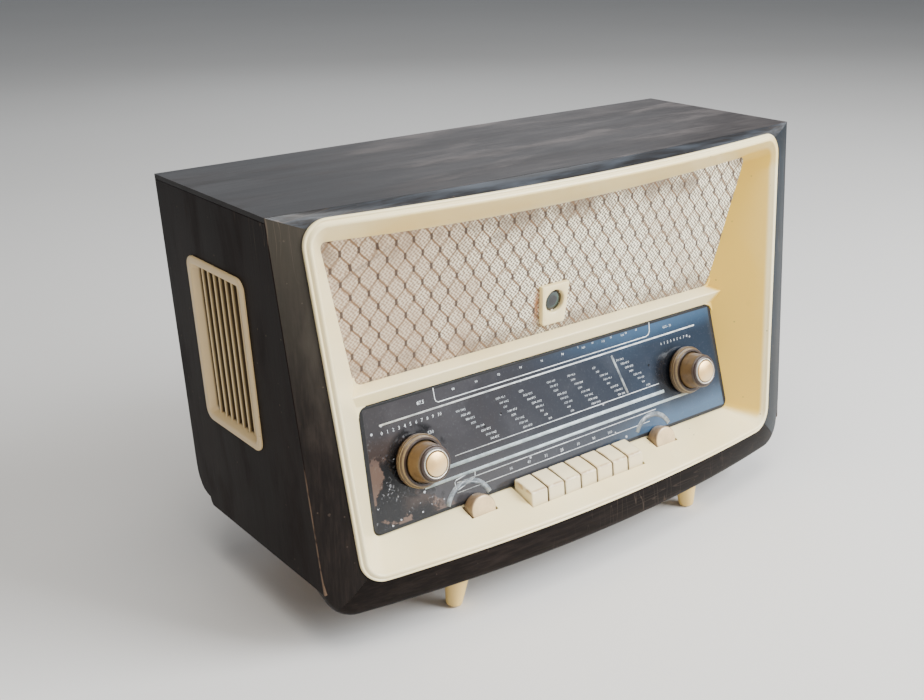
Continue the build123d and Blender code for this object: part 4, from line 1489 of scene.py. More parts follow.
# ------------------------------------------------------------------ moulded front
@dataclass
class Fascia:
    """Ivory moulding: rolled lip, roof, slanted walls, key shelf and the bar between cloth and dial."""

    lip: tuple[Flat, ...] = ((0.0, -0.6), (0.0, 1.7), (0.5, 2.5), (1.6, 2.7), (2.2, 2.1), (2.7, 2.1),
                             (3.3, 2.9), (4.4, 3.8), (5.6, 4.0), (6.8, 3.55))
    lip_width: float = 7.6
    roll_out: Flat = (2.5, 1.2)
    throat_top: Flat = (245.3, 338.0)
    throat_low: Flat = (220.0, 84.8)
    throat_round: Flat = (6.0, 8.0)
    sag: float = 8.5
    wall: float = 3.0
    depth: float = 2.5
    fractions: tuple[float, ...] = (0.035, 0.11, 0.3, 0.55, 0.8, 0.97, 1.0)
    bar: tuple[Flat, ...] = ((-40.0, 209.9), (-45.2, BAR_TOP), (-56.6, 205.3), (-49.8, BAR_LOW),
                             (-42.0, 191.0))
    bar_half: float = 224.5
    web: float = 8.0
    key_gap: float = 1.4
    tone_slot: Flat = (14.7, 13.8)

    def build(self) -> None:
        """Builds the moulding, cuts its slots and dresses it."""
        shell = self.shell()
        for cutter in self.cutters():
            modify(shell, "BOOLEAN", operation="DIFFERENCE", solver="EXACT", object=cutter)
        apply_stack(shell)
        for cutter in [o for o in bpy.data.objects if o.name.startswith("cutter_")]:
            bpy.data.objects.remove(cutter)
        shell.data.shade_smooth()
        shell.data.set_sharp_from_angle(angle=math.radians(42))
        piece = joined("front_moulding", [shell, self.cross_bar(), *self.webs()])
        fit_out(piece, "case", "cream_plastic", Ivory(aged_right=True).make(), "fascia")

    def lip_loop(self, inset: float, proud: float) -> list[Point]:
        """Loop along the lip, inset from the moulding's edge and proud of the wooden frame."""
        return [(x, RIM.y_at(x, z) + LIP_DEPTH - proud, z) for x, z in ring(RIM.loop(inset))]

    def inner_edge(self) -> list[Point]:
        """Loop where the lip ends and the walls begin.

        Returns:
            Its points.
        """
        loop = []
        for x, z in ring(RIM.loop(self.lip_width)):
            share = (RIM.top.z - z) / (RIM.top.z - RIM.bottom.z)
            loop.append((x, RIM.y_at(x, z) + LIP_DEPTH - mix(*self.roll_out, share), z))
        return loop

    @staticmethod
    def opening_y(z: float) -> float:
        """Depth of the opening.

        Args:
            z: height.

        Returns:
            y of the cloth, or of the dial below it.
        """
        if z >= BAR_TOP:
            return CLOTH.y_at(z)
        if z <= BAR_LOW:
            return DIAL.y_at(z)
        return mix(DIAL.y_at(BAR_LOW), CLOTH.y_at(BAR_TOP), (z - BAR_LOW) / (BAR_TOP - BAR_LOW))

    def throat(self, grow: float, depth: float) -> list[Point]:
        """Loop round cloth and dial.

        Args:
            grow: how far it is grown outwards.
            depth: how far it is set back.

        Returns:
            Its points.
        """
        (wide, high), (narrow, low) = self.throat_top, self.throat_low
        corners = [(-wide - grow, high + grow), (wide + grow, high + grow), (narrow + grow, low - grow),
                   (-narrow - grow, low - grow)]
        radii = [r + grow for r in (self.throat_round[0],) * 2 + (self.throat_round[1],) * 2]
        loop = []
        for x, z in ring(rounded_sides(corners, radii)):
            line = mix(narrow, wide, (z - low) / (high - low)) + grow
            y = self.opening_y(z) + depth
            on_wall = min(abs(x) / line, 1.0) ** 30
            shifted = abs(x) + (wall_x(y, z) + grow - line) * on_wall
            drop = self.sag * (1 - min(abs(x) / wide, 1.0) ** 2) * smooth((z - high + 12.0) / 10.0)
            loop.append((math.copysign(shifted, x), y, z - drop))
        return loop

    def shell(self) -> Piece:
        """The moulding without bar and slots.

        Returns:
            The piece, as a closed ring of loops.
        """
        edge, throat = self.inner_edge(), self.throat(0.0, self.depth)
        loops = [self.lip_loop(*step) for step in self.lip] + [edge]
        for f in self.fractions:
            loops.append([tuple(mix(a, b, f) for a, b in zip(p, q)) for p, q in zip(edge, throat)])
        loops.append(self.throat(self.wall, self.depth))
        loops.append(self.lip_loop(4.0, -2.5))
        points = [p for loop in loops for p in loop]
        piece = outward(cage("moulding_shell", points, tube_faces(len(edge), len(loops), True)), 0.001)
        subdivide(piece, 2)
        return apply_stack(piece)

    def cutters(self) -> list[Piece]:
        """Openings for the keys and for the two tone knobs.

        Returns:
            The cutting solids.
        """
        first, last = box_of("key_1")[0], box_of("key_7")[1]
        gap = self.key_gap
        made = [self.cutter("keys", (first.x - gap, first.y - gap, 50.0), (last.x + gap, -73.0, 120.0))]
        for joint in ("bass_turn", "treble_turn"):
            centre, _ = axis_of(joint)
            half, deep = self.tone_slot
            outline = [(centre.x - half, -45.0), (centre.x + half, -45.0), (centre.x + half, -95.0),
                       (centre.x - half, -95.0)]
            made.append(slab(f"cutter_{joint}", outline, DIAL.at, -1.2, deep, 0.5))
        return made

    @staticmethod
    def cutter(name: str, low: Point, high: Point) -> Piece:
        """Box between two corners, with rounded upright edges."""
        outline = [(low[0], low[1]), (high[0], low[1]), (high[0], high[1]), (low[0], high[1])]
        return slab(f"cutter_{name}", outline, lambda x, y, z: (x, y, z), low[2], high[2], 0.6)

    def cross_bar(self) -> Piece:
        """Bar between cloth and dial, run into the side walls."""
        half = self.bar_half
        return slab("cross_bar", self.bar, across, -half, half, 1.5, 4)

    def webs(self) -> list[Piece]:
        """Rounded fillings where the bar meets the walls.

        Returns:
            Two fillings at the dial and two at the cloth.
        """
        made = []
        for plane, z, upward in ((DIAL, BAR_LOW, -1), (CLOTH, BAR_TOP, 1)):
            v = (z - plane.z) / math.cos(plane.lean)
            corner = wall_x(plane.y_at(z), z)
            foot = v - 3 * upward
            for side in (-1, 1):
                outline = [(side * (corner + 3), foot), (side * (corner - self.web), foot)]
                for j in range(9):
                    angle = math.pi / 2 * j / 8
                    outline.append((side * (corner - self.web + self.web * math.sin(angle)),
                                    v + upward * self.web * (1 - math.cos(angle))))
                outline.append((side * (corner + 3), v + upward * self.web))
                made.append(slab("web", outline, lambda a, b, w, p=plane: p.at(a, b, w), -2.5, 0.9, 0.4))
        return made


# ------------------------------------------------------------------ cloth and magic eye
@dataclass
class ClothFront:
    """Grille cloth stretched over the baffle, and the magic eye in its plate."""

    low_half: float = 214.6
    high_half: float = 247.6
    low: float = 0.0
    high: float = 130.0
    columns: int = 150
    rows: int = 44
    eye_clear: float = 11.5
    plate_thick: float = 4.25
    plate_hole: float = 10.7
    plate_foot: float = 13.3
    plate_steps: int = 64

    def build(self) -> None:
        """Builds and dresses the cloth, the plate and the eye."""
        cloth = self.cloth()
        fit_out(cloth, "case", "grille_cloth", GrilleCloth().make(), "grille_cloth")
        fit_out(self.plate(), "case", "cream_plastic", Ivory("ivory_plate", yellow=0.12).make(),
                "eye_escutcheon")
        fit_out(self.eye(), "case", "valve_glass", EyeGlass(self.eye_v()).make(), "magic_eye")

    @staticmethod
    def eye_v() -> float:
        """Height of the eye's axis up the cloth."""
        low, high = box_of("magic_eye")
        front = Vector((0, low.y, (low.z + high.z) / 2))
        return (front - Vector((0, CLOTH.y, CLOTH.z))).dot(CLOTH.up)

    def cloth(self) -> Piece:
        """Cloth.

        Returns:
            The sheet, open round the eye, with small puckers along its edges and one crease.
        """
        points, faces = [], []
        eye = self.eye_v()
        for j in range(self.rows + 1):
            t = j / self.rows
            half, v = mix(self.low_half, self.high_half, t), mix(self.low, self.high, t)
            for i in range(self.columns + 1):
                x = mix(-half, half, i / self.columns)
                points.append(CLOTH.at(x, v, -0.55 + self.pucker(x, v)))
        row = self.columns + 1
        for j in range(self.rows):
            for i in range(self.columns):
                a = j * row + i
                centre = (points[a] + points[a + row + 1]) / 2 - CLOTH.at(0, eye)
                if centre.length > self.eye_clear:
                    faces.append((a, a + 1, a + row + 1, a + row))
        piece = cage("grille_cloth_weave", points, faces)
        modify(piece, "SOLIDIFY", thickness=0.5 * MM, offset=-1.0)
        return piece

    @staticmethod
    def pucker(x: float, v: float) -> float:
        """Height of the cloth's small folds.

        Args:
            x: place along the cloth.
            v: place up the cloth.

        Returns:
            Height over the cloth's plane.
        """
        edge = smooth((v - 96.0) / 24.0) + smooth((14.0 - v) / 12.0) * 0.6
        waves = 0.16 * math.sin(x * 0.37 + 1.4 * math.sin(x * 0.06)) * edge
        crease = (v - 99.0) - (x + 222.0) * CREASE_SLOPE
        ridge, ditch = math.exp(-(crease / 3.4) ** 2), math.exp(-((crease - 6.0) / 2.4) ** 2)
        fold = 1.5 * ridge * smooth((x + 236.0) / 12.0) * smooth((-162.0 - x) / 24.0)
        fold -= 0.9 * ditch * smooth((x + 232.0) / 12.0) * smooth((-165.0 - x) / 20.0)
        return waves + fold + 0.12 * math.sin(x * 0.05) * math.sin(v * 0.11)

    def plate(self) -> Piece:
        """Plate of the eye.

        Returns:
            A tapered plate with a round chamfered hole.
        """
        low, high = box_of("eye_escutcheon")
        eye = self.eye_v()
        v_low = (low.z - CLOTH.z) / math.cos(CLOTH.lean) + 0.2
        v_high = (high.z - CLOTH.z) / math.cos(CLOTH.lean)
        count = self.plate_steps
        turns = [-2 * math.pi * i / count for i in range(count)]

        def rim(inset: float) -> list[Flat]:
            """Outline of the plate.

            Args:
                inset: how far it is inset on all sides.

            Returns:
                Its points.
            """
            foot, head = self.plate_foot - inset, high.x - inset
            slope = (head - foot) / (v_high - v_low)
            loop = []
            for dx, dv in ((math.sin(a), math.cos(a)) for a in turns):
                end = (v_high if dv > 0 else v_low) - eye - math.copysign(inset, dv)
                to_end = end / dv if abs(dv) > TINY else math.inf
                at_eye = foot + slope * (eye - v_low)
                to_side = at_eye / (abs(dx) - slope * dv) if abs(dx) > TINY else math.inf
                scale = min(to_end, to_side)
                loop.append((dx * scale, eye + dv * scale))
            return loop

        def circle(radius: float) -> list[Flat]:
            """Circle about the eye's axis."""
            return [(radius * math.sin(a), eye + radius * math.cos(a)) for a in turns]

        thick = self.plate_thick
        steps = [(rim(0.0), -0.3), (rim(0.0), thick - 0.8), (rim(0.25), thick - 0.25), (rim(0.8), thick),
                 (circle(self.plate_hole + 1.2), thick), (circle(self.plate_hole + 0.4), thick - 0.4),
                 (circle(self.plate_hole), thick - 1.1), (circle(self.plate_hole), -0.3)]
        points = [CLOTH.at(x, v, w) for loop, w in steps for x, v in loop]
        piece = outward(cage("eye_plate", points, tube_faces(count, len(steps), True)))
        piece.data.set_sharp_from_angle(angle=math.radians(50))
        return piece

    def eye(self) -> Piece:
        """Domed end of the magic eye, set back in the plate."""
        turns = [math.pi / 2 * j / 8 for j in range(9)]
        dome = [(9.3 * math.sin(a), 1.4 * math.cos(a)) for a in turns]
        profile = dome + [(9.3, -8.0), (9.3, -58.0), (0.0, -60.0)]
        return turned("magic_eye_glass", profile, CLOTH.place(0, self.eye_v()), 64, 0.0)


# ------------------------------------------------------------------ dial
@dataclass
class Dial:
    """Dial glass with its printing."""

    low_half: float = 219.4
    high_half: float = 213.2
    low: float = -51.6
    high: float = 57.6
    rounds: tuple[float, ...] = (7.5, 7.5, 8.5, 8.5)
    face: float = -0.3
    thick: float = 3.0
    print_lift: float = 0.05
    print_thick: float = 0.06
    type_height: float = 1.35
    arc: float = 24.5
    marks: list[Piece] = field(default_factory=list)

    def build(self) -> None:
        """Builds and dresses the glass and its printing."""
        corners = [(-self.high_half, self.high), (self.high_half, self.high), (self.low_half, self.low),
                   (-self.low_half, self.low)]
        outline = ring(rounded_sides(corners, self.rounds))
        glass = slab("dial_glass_plate", outline, DIAL.at, self.face - self.thick, self.face, 0.5, 3)
        fit_out(glass, "case", "dial_glass", DialPaint().make(), "dial_glass")
        self.lines()
        self.numbers()
        self.gather("dial_print_white", Ink("ink_white", (0.92, 0.96, 1.0), (0.42, 0.46, 0.50)))
        self.bands()
        self.gather("dial_print_blue", Ink("ink_pale_blue", (0.62, 0.74, 0.80), (0.36, 0.45, 0.50)))
        self.scales()
        self.stroke([(70.6, 36.5), (84.8, -4.0)], 2.6)
        self.gather("dial_print_scales", Ink("ink_scale", (0.34, 0.38, 0.41), (0.05, 0.065, 0.085)))

    def gather(self, name: str, ink: Ink) -> None:
        """Joins the marks made so far into one thin piece in that ink."""
        piece = joined(name, self.marks)
        self.marks = []
        fit_out(piece, "case", "dial_glass", ink.make())

    def flat_mark(self, outline: Sequence[Flat]) -> None:
        """Adds a thin mark.

        Args:
            outline: its outline as flat points.
        """
        low = self.face + self.print_lift
        mark = slab("mark", outline, DIAL.at, low, low + self.print_thick, 0.01)
        mark.modifiers.clear()
        self.marks.append(mark)

    def stroke(self, points: Sequence[Flat], width: float) -> None:
        """Adds an open line.

        Args:
            points: what it runs along.
            width: its width.
        """
        left, right = [], []
        for k, point in enumerate(points):
            here = Vector(point)
            before = Vector(points[max(k - 1, 0)])
            after = Vector(points[min(k + 1, len(points) - 1)])
            run = (after - before).normalized()
            side = Vector((-run.y, run.x)) * width / 2
            left.append(tuple(here + side))
            right.append(tuple(here - side))
        self.flat_mark(left + right[::-1])

    def lines(self) -> None:
        """Ruled lines, and the frame of the upper scale with its rounded ends."""
        self.stroke([(-196.0, 38.8), (187.0, 41.1)], 1.5)
        self.stroke([(-126.0, -7.2), (127.5, -5.1)], 0.75)
        self.stroke([(-129.0, -30.9), (118.6, -28.9)], 0.75)
        self.stroke([(-130.0, -39.8), (108.0, -38.5)], 0.7)
        box = [(-137.0, 56.5), (-137.0, 47.0), (-136.1, 44.6), (-134.0, 43.4), (0.0, 44.0), (119.0, 44.4),
               (122.6, 45.6), (124.6, 48.6), (125.6, 57.0)]
        self.stroke(box, 0.85)
        plate = [(-131.0, -30.0), (-129.5, -28.4), (-110.0, -25.2), (-108.0, -26.4), (-108.6, -30.0),
                 (-110.4, -32.0), (-128.5, -37.4), (-130.6, -36.2), (-131.0, -29.5)]
        self.stroke(plate, 0.7)

    def bands(self) -> None:
        """The two broad wave-band strips and the divider of the number columns."""
        self.stroke([(-141.0, -14.9), (133.0, -14.1)], 3.2)
        self.stroke([(-162.0, -25.6), (167.0, -23.8)], 2.7)

    def numbers(self) -> None:
        """Frequencies in staggered columns, and the figures over the keys and the upper scale."""
        rng = random.Random(7)
        columns = ((-117.7, -85.5), (-73.3, -48.0), (-46.4, -17.0), (-13.0, 10.4), (12.7, 36.8),
                   (44.3, 71.7), (75.8, 110.1))
        ends = (" 87.5", " 1062", " 104", " 96.1", "", " 641")
        for first, last in columns:
            for line in range(8):
                body = f"{rng.randrange(52, 160) * 10}" + rng.choice(ends)
                self.figure(body, mix(first, last, line / 7), 29.3 - 4.7 * line, 2.1)
        bands = ("16", "49", "31", "25", "10", "90", "100")
        for body, x in zip(bands, (-70.5, -49.0, -28.5, -9.0, 11.5, 31.5, 51.5)):
            self.figure(body, x, -36.6, 3.0)
        for place in range(9):
            self.figure(f"{88 + 2 * place}", -118.0 + 25.5 * place, 49.6 + 0.25 * place, 2.3)
        for place in range(11):
            self.figure(str(place), -196.0 + 5.9 * place, 30.4 + 0.1 * place, 3.3)
        for place in range(9):
            self.figure(str(place), 137.0 + 4.6 * place, 31.4, 2.8)
        self.figure("87.5", -156.0, 46.0, 3.4)
        self.figure("530", -150.0, 18.5, 3.2)
        self.figure("65.5 - 73", 143.0, 47.0, 2.5)
        for place, x in enumerate((30.0, 48.0, 72.0, 92.0, 106.0)):
            self.figure(f"{(place + 1) * 5}", x, 53.0, 1.9)

    def figure(self, body: str, x: float, v: float, size: float) -> None:
        """Adds digits.

        Args:
            body: the digits.
            x: place of their left foot along the dial.
            v: its place up the dial.
            size: height of the digits, about.
        """
        curve = bpy.data.curves.new("figure", "FONT")
        curve.body = body
        curve.size = size * self.type_height * MM
        curve.resolution_u = 1
        curve.extrude = self.print_thick / 2 * MM
        text = placed("figure", curve)
        mesh = evaluated(text)
        bpy.data.objects.remove(text)
        lift = Matrix.Translation((0, 0, (self.face + self.print_lift + self.print_thick / 2) * MM))
        mesh.transform(DIAL.place(x, v) @ lift)
        self.marks.append(placed("figure", mesh))

    def scales(self) -> None:
        """Arched scales behind the two tone knobs."""
        for joint, first, last in (("bass_turn", 20.0, 172.0), ("treble_turn", 25.0, 150.0)):
            centre, _ = axis_of(joint)
            x, v = (centre.x - 5.0 if centre.x < 0 else centre.x - 3.0), up_dial(centre) + 1.0
            arc = []
            for j in range(25):
                angle = math.radians(mix(last, first, j / 24))
                arc.append((x + self.arc * math.cos(angle), v + self.arc * math.sin(angle)))
            self.stroke([p for p in arc if p[1] > self.low + 1.5], 5.0)


# ------------------------------------------------------------------ knobs
@dataclass
class Knob:
    """One of the two concentric knobs: outer ring, knob body and metal cap."""

    joint: str
    ring_body: str
    body: str
    nodes: tuple[str, str, str]
    ring_radius: float = 23.5
    radius: float = 18.4
    cap: float = 10.3
    front: float = 26.5

    def build(self) -> None:
        """Builds and dresses the three pieces."""
        centre, _ = axis_of(self.joint)
        place = DIAL.place(centre.x, 0.0)
        side = "left" if centre.x < 0 else "right"
        moulded = BrownMoulding(f"brown_knob_{side}", centre.x).make()
        metal = SpunMetal(f"spun_cap_{side}", centre.x).make()
        ring_node, body_node, cap_node = self.nodes
        fit_out(turned(f"{ring_node}_skirt", self.ring_profile(), place, closed=True), self.ring_body,
                "brown_plastic", moulded, ring_node)
        fit_out(turned(f"{body_node}_body", self.body_profile(), place), self.body, "brown_plastic",
                moulded, body_node)
        fit_out(turned(f"{cap_node}_disc", self.cap_profile(), place, edge=0.2), self.body,
                "champagne_metal", metal, cap_node)

    def ring_profile(self) -> list[Flat]:
        """Stepped skirt of the outer ring.

        Returns:
            Its profile, with two fine grooves in its edge.
        """
        r = self.ring_radius
        return [(self.radius + 0.6, 11.0), (r - 2.4, 11.0), (r - 2.0, 10.4), (r - 1.9, 8.6), (r - 1.2, 8.3),
                (r - 0.4, 7.4), (r, 6.6), (r, 5.0), (r - 0.5, 4.7), (r - 0.5, 4.3), (r, 4.0), (r, 2.2),
                (4.9, 2.2), (4.9, -20.0), (3.1, -20.0), (3.1, 4.5), (self.radius + 0.6, 4.5)]

    def body_profile(self) -> list[Flat]:
        """Tapered body of the knob.

        Returns:
            Its profile, slightly waisted, with a seat for the cap.
        """
        r, front = self.radius, self.front
        seat = self.cap + 4.75
        return [(0.0, front - 2.0), (seat, front - 2.0), (seat, front - 0.2), (seat + 0.5, front - 0.2),
                (r - 2.5, front - 0.7), (r - 2.2, front - 1.6), (r - 1.9, front - 6.0), (r - 1.3, 16.0),
                (r - 0.6, 11.0), (r - 0.1, 7.0), (r, 5.0), (3.0, 5.0), (3.0, 20.0), (0.0, 20.0)]

    def cap_profile(self) -> list[Flat]:
        """Domed cap.

        Returns:
            Its profile, with a dark groove and a bright trim ring.
        """
        r, front = self.cap, self.front
        dome = [(r * j / 6, front + 3.9 - 1.3 * (j / 6) ** 2) for j in range(7)]
        return dome + [(r + 0.1, front + 1.9), (r + 0.15, front + 0.6), (r + 1.1, front + 0.6),
                       (r + 1.25, front + 2.0), (r + 1.7, front + 2.4), (r + 2.1, front + 2.1),
                       (r + 2.3, front + 1.2), (r + 2.7, front + 1.1), (r + 3.1, front + 1.7),
                       (r + 3.9, front + 1.5), (r + 4.6, front + 0.8), (r + 4.6, front - 2.0),
                       (0.0, front - 2.0)]


@dataclass
class ToneKnob:
    """Small knob sunk in the shelf, with its end face painted pale as a highlight."""

    joint: str
    body: str
    node: str
    radius: float = 13.5
    length: float = 13.0

    def build(self) -> None:
        """Builds and dresses the knob with its shaft."""
        centre, _ = axis_of(self.joint)
        v = up_dial(centre)
        r, end = self.radius, self.length
        profile = [(0.0, end), (r - 2.2, end), (r - 1.4, end - 0.1), (r - 0.8, end - 0.5),
                   (r - 0.2, end - 1.0), (r, end - 1.8), (r, 2.2), (r - 0.6, 1.0), (2.5, 1.0),
                   (2.5, -24.0), (0.0, -24.0)]
        piece = turned(f"{self.node}_drum", profile, DIAL.place(centre.x, v), 72, 0.2)
        finish = BrownMoulding(f"brown_{self.node}", centre.x, base=(0.29, 0.195, 0.11),
                               face_from=end - 0.7, centre_v=v)
        fit_out(piece, self.body, "brown_plastic", finish.make(), self.node)


# ------------------------------------------------------------------ keys
@dataclass
class Keys:
    """Seven ivory piano keys with their levers."""

    count: int = 7
    lever: float = 5.0
    section: tuple[Flat, ...] = ((-104.9, 71.5), (-104.1, 80.0), (-103.3, 87.5), (-101.5, 88.9),
                                 (-90.0, 90.9), (-78.4, 92.4), (-78.8, 77.2))

    def build(self) -> None:
        """Builds and dresses each key on its own body."""
        start = box_of("key_1")[0].x
        finish = Ivory("ivory_keys", pale=(0.88, 0.78, 0.53), yellow=0.05, worn_edges=start).make()
        for number in range(1, self.count + 1):
            node = f"key_{number}"
            low, high = box_of(node)
            cap = slab("cap", self.section, across, low.x, high.x, 1.5, 4)
            pivot, _ = axis_of(f"{node}_press")
            arm = [(-79.5, 77.4), (-79.5, 81.6), (pivot.y, 83.0), (pivot.y + 3.6, 81.0),
                   (pivot.y + 3.6, 78.0), (pivot.y, 76.0)]
            lever = slab("lever", arm, across, pivot.x - self.lever, pivot.x + self.lever, 0.6)
            fit_out(joined(f"{node}_touch", [cap, lever]), node, "cream_plastic", finish, node)


# ------------------------------------------------------------------ side grilles and feet
@dataclass
class SideGrilles:
    """Ivory frames with upright slats in both sides."""

    width: float = 7.4
    outer_round: float = 10.0
    bays: int = 8
    slat: float = 1.8
    proud: float = 2.2
    deep: float = 11.5
    slat_back: float = 7.6
    pale: Colour = (0.82, 0.65, 0.37)
    amber: Colour = (0.58, 0.36, 0.13)

    def build(self) -> None:
        """Builds the right grille, mirrors it, and dresses both."""
        framed = Ivory("ivory_grille", pale=self.pale, amber=self.amber, yellow=0.4, shaded_below=-3.4)
        slatted = Ivory("ivory_slats", pale=self.pale, amber=self.amber, yellow=0.3, shaded_below=-2.7)
        for ivory, kind, right in ((framed, "frame", self.rim()),
                                   (slatted, "slats", joined("grille_slats_right", self.slats()))):
            finish = ivory.make()
            left = mirrored(right, f"grille_{kind}_left")
            fit_out(right, "case", "cream_plastic", finish, "side_grille_right")
            fit_out(left, "case", "cream_plastic", finish, "side_grille_left")

    @staticmethod
    def span() -> tuple[float, float, float, float]:
        """Lowest and highest y and z of a grille."""
        low, high = box_of("side_grille_right")
        return low.y, high.y, low.z, high.z

    def rim(self) -> Piece:
        """Rounded frame.

        Returns:
            The frame, whose inner walls run back to the slats.
        """
        y0, y1, z0, z1 = self.span()
        steps = [(0.0, 0.05), (0.0, self.proud - 0.8), (0.3, self.proud - 0.25), (0.9, self.proud),
                 (self.width - 2.2, self.proud), (self.width - 1.0, self.proud - 0.4),
                 (self.width - 0.2, self.proud - 1.5), (self.width + 2.6, -self.slat_back),
                 (self.width + 2.6, -self.deep), (6.4, -self.deep), (6.4, 0.05)]
        points = []
        for inset, out in steps:
            corners = [(y0 + inset, z1 - inset), (y1 - inset, z1 - inset), (y1 - inset, z0 + inset),
                       (y0 + inset, z0 + inset)]
            radius = max(self.outer_round - inset, 4.5)
            points += [(side_x(z) + out, y, z) for y, z in ring(rounded_sides(corners, [radius] * 4))]
        count = len(points) // len(steps)
        piece = outward(cage("grille_frame_right", points, tube_faces(count, len(steps), True)))
        piece.data.set_sharp_from_angle(angle=math.radians(55))
        return piece

    def slats(self) -> list[Piece]:
        """Upright slats.

        Returns:
            The slats, set back inside the frame.
        """
        y0, y1, z0, z1 = self.span()
        pitch = (y1 - y0 - 2 * self.width) / self.bays
        made = []
        for bay in range(1, self.bays):
            y = y0 + self.width + bay * pitch
            near, far = y - self.slat / 2, y + self.slat / 2
            outline = [(-self.slat_back, near), (-2.8, near), (-2.3, y), (-2.8, far), (-self.slat_back, far)]
            made.append(slab("slat", outline, lambda out, along, z: (side_x(z) + out, along, z),
                             z0 + 7, z1 - 7, 0.3))
        return made


@dataclass
class Feet:
    """Four turned, splayed feet."""

    tip: float = 7.5
    top: float = 15.0
    splay: float = 7.0
    height: float = 66.0
    tip_at: Point = (148.9, 92.0, 0.7)
    front_top: float = 56.0
    rear_top: float = 62.0

    def build(self) -> None:
        """Builds the feet as one piece and dresses them."""
        profile = [(0.0, self.height), (self.top, self.height)]
        profile += [(mix(self.top, self.tip, j / 6) + 0.5 * math.sin(math.pi * j / 6),
                     self.height * (1 - j / 6) + 2.6 * j / 6) for j in range(1, 7)]
        profile += [(self.tip - 0.5, 1.2), (self.tip - 1.9, 0.3), (0.0, 0.0)]
        x, y, z = (c * MM for c in self.tip_at)
        made = []
        for sx in (-1, 1):
            for sy, high in ((-1, self.front_top), (1, self.rear_top)):
                tilt = Matrix.Rotation(math.radians(-sx * self.splay), 4, "Y")
                foot = turned("foot", profile, Matrix.Translation((sx * x, sy * y, z)) @ tilt, 48, 0.0)
                self.cut(foot, high)
                made.append(foot)
        finish = Ivory("ivory_feet", pale=(0.84, 0.60, 0.29), yellow=0.5).make()
        fit_out(joined("turned_feet", made), "case", "cream_plastic", finish, "feet")

    @staticmethod
    def cut(foot: Piece, high: float) -> None:
        """Cuts a foot off level at the floor and at its top.

        Args:
            foot: the foot.
            high: height of its top.
        """
        shell = bmesh.new()
        shell.from_mesh(foot.data)
        for z, normal in ((0.0, (0, 0, -1)), (high * MM, (0, 0, 1))):
            geometry = shell.verts[:] + shell.edges[:] + shell.faces[:]
            bmesh.ops.bisect_plane(shell, geom=geometry, plane_co=(0, 0, z), plane_no=normal,
                                   clear_outer=True)
            rims = [e for e in shell.edges if e.is_boundary]
            bmesh.ops.holes_fill(shell, edges=rims, sides=0)
        bmesh.ops.recalc_face_normals(shell, faces=shell.faces)
        shell.to_mesh(foot.data)
        shell.free()
        foot.data.set_sharp_from_angle(angle=math.radians(50))


# ------------------------------------------------------------------ works and back
@dataclass
class Works:
    """The works and the back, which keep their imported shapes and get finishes."""

    def build(self) -> None:
        """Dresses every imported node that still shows."""
        steel = Stock("zinc_steel", Texture.BRUSHED, (0.42, 0.43, 0.44), (0.56, 0.57, 0.56), 0.42, 0.9)
        bakelite = Stock("bakelite", Texture.MOULDED, (0.030, 0.016, 0.010), (0.055, 0.032, 0.020), 0.35)
        board = Stock("raw_board", Texture.FIBRES, (0.40, 0.27, 0.15), (0.28, 0.18, 0.095), 0.8)
        iron = Stock("iron_core", Texture.LAMINATED, (0.045, 0.042, 0.040), (0.10, 0.075, 0.055), 0.5, 0.4)
        can = Stock("aluminium_can", Texture.BRUSHED, (0.66, 0.67, 0.68), (0.75, 0.75, 0.74), 0.35, 0.95)
        brass = Stock("brass", Texture.BRUSHED, (0.70, 0.50, 0.22), (0.55, 0.37, 0.15), 0.3, 0.95)
        ferrite = Stock("ferrite", Texture.MOULDED, (0.02, 0.02, 0.022), (0.05, 0.05, 0.052), 0.6)
        paper = Stock("cone_paper", Texture.FIBRES, (0.055, 0.048, 0.040), (0.10, 0.088, 0.072), 0.9)
        hardboard = Stock("hardboard", Texture.FIBRES, (0.17, 0.098, 0.050), (0.105, 0.058, 0.030), 0.62)
        groups = {
            steel: ("dial_backplate", "volume_shaft", "tuning_shaft", "potentiometers", "key_bracket",
                    "key_rod", "chassis", "vhf_tuner", "speaker_baskets"),
            bakelite: ("cord_pulleys", "valve_sockets", "dial_drum", "aerial_post", "socket_panel"),
            board: ("bottom_board", "baffle_board"),
            iron: ("mains_transformer", "output_transformer", "speaker_magnets"),
            can: ("filter_cans", "tuning_capacitor", "capacitor_rotor"),
            brass: ("flywheel", "cover_screws"),
            ferrite: ("ferrite_rod",),
            paper: ("speaker_cones",),
            hardboard: ("rear_cover",),
            BlownGlass(): ("power_valves", "signal_valves"),
            Ivory("ivory_pointer"): ("dial_pointer",),
        }
        for stock, nodes in groups.items():
            finish = stock.make()
            for node in nodes:
                self.dress(node, finish)

    @staticmethod
    def dress(node: str, finish: Material) -> None:
        """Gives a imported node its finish.

        Args:
            node: name of the node.
            finish: its material.
        """
        piece = frame["nodes"][node]
        piece.data.materials.clear()
        piece.data.materials.append(finish)
        log.info("%s keeps its packed shape", node)


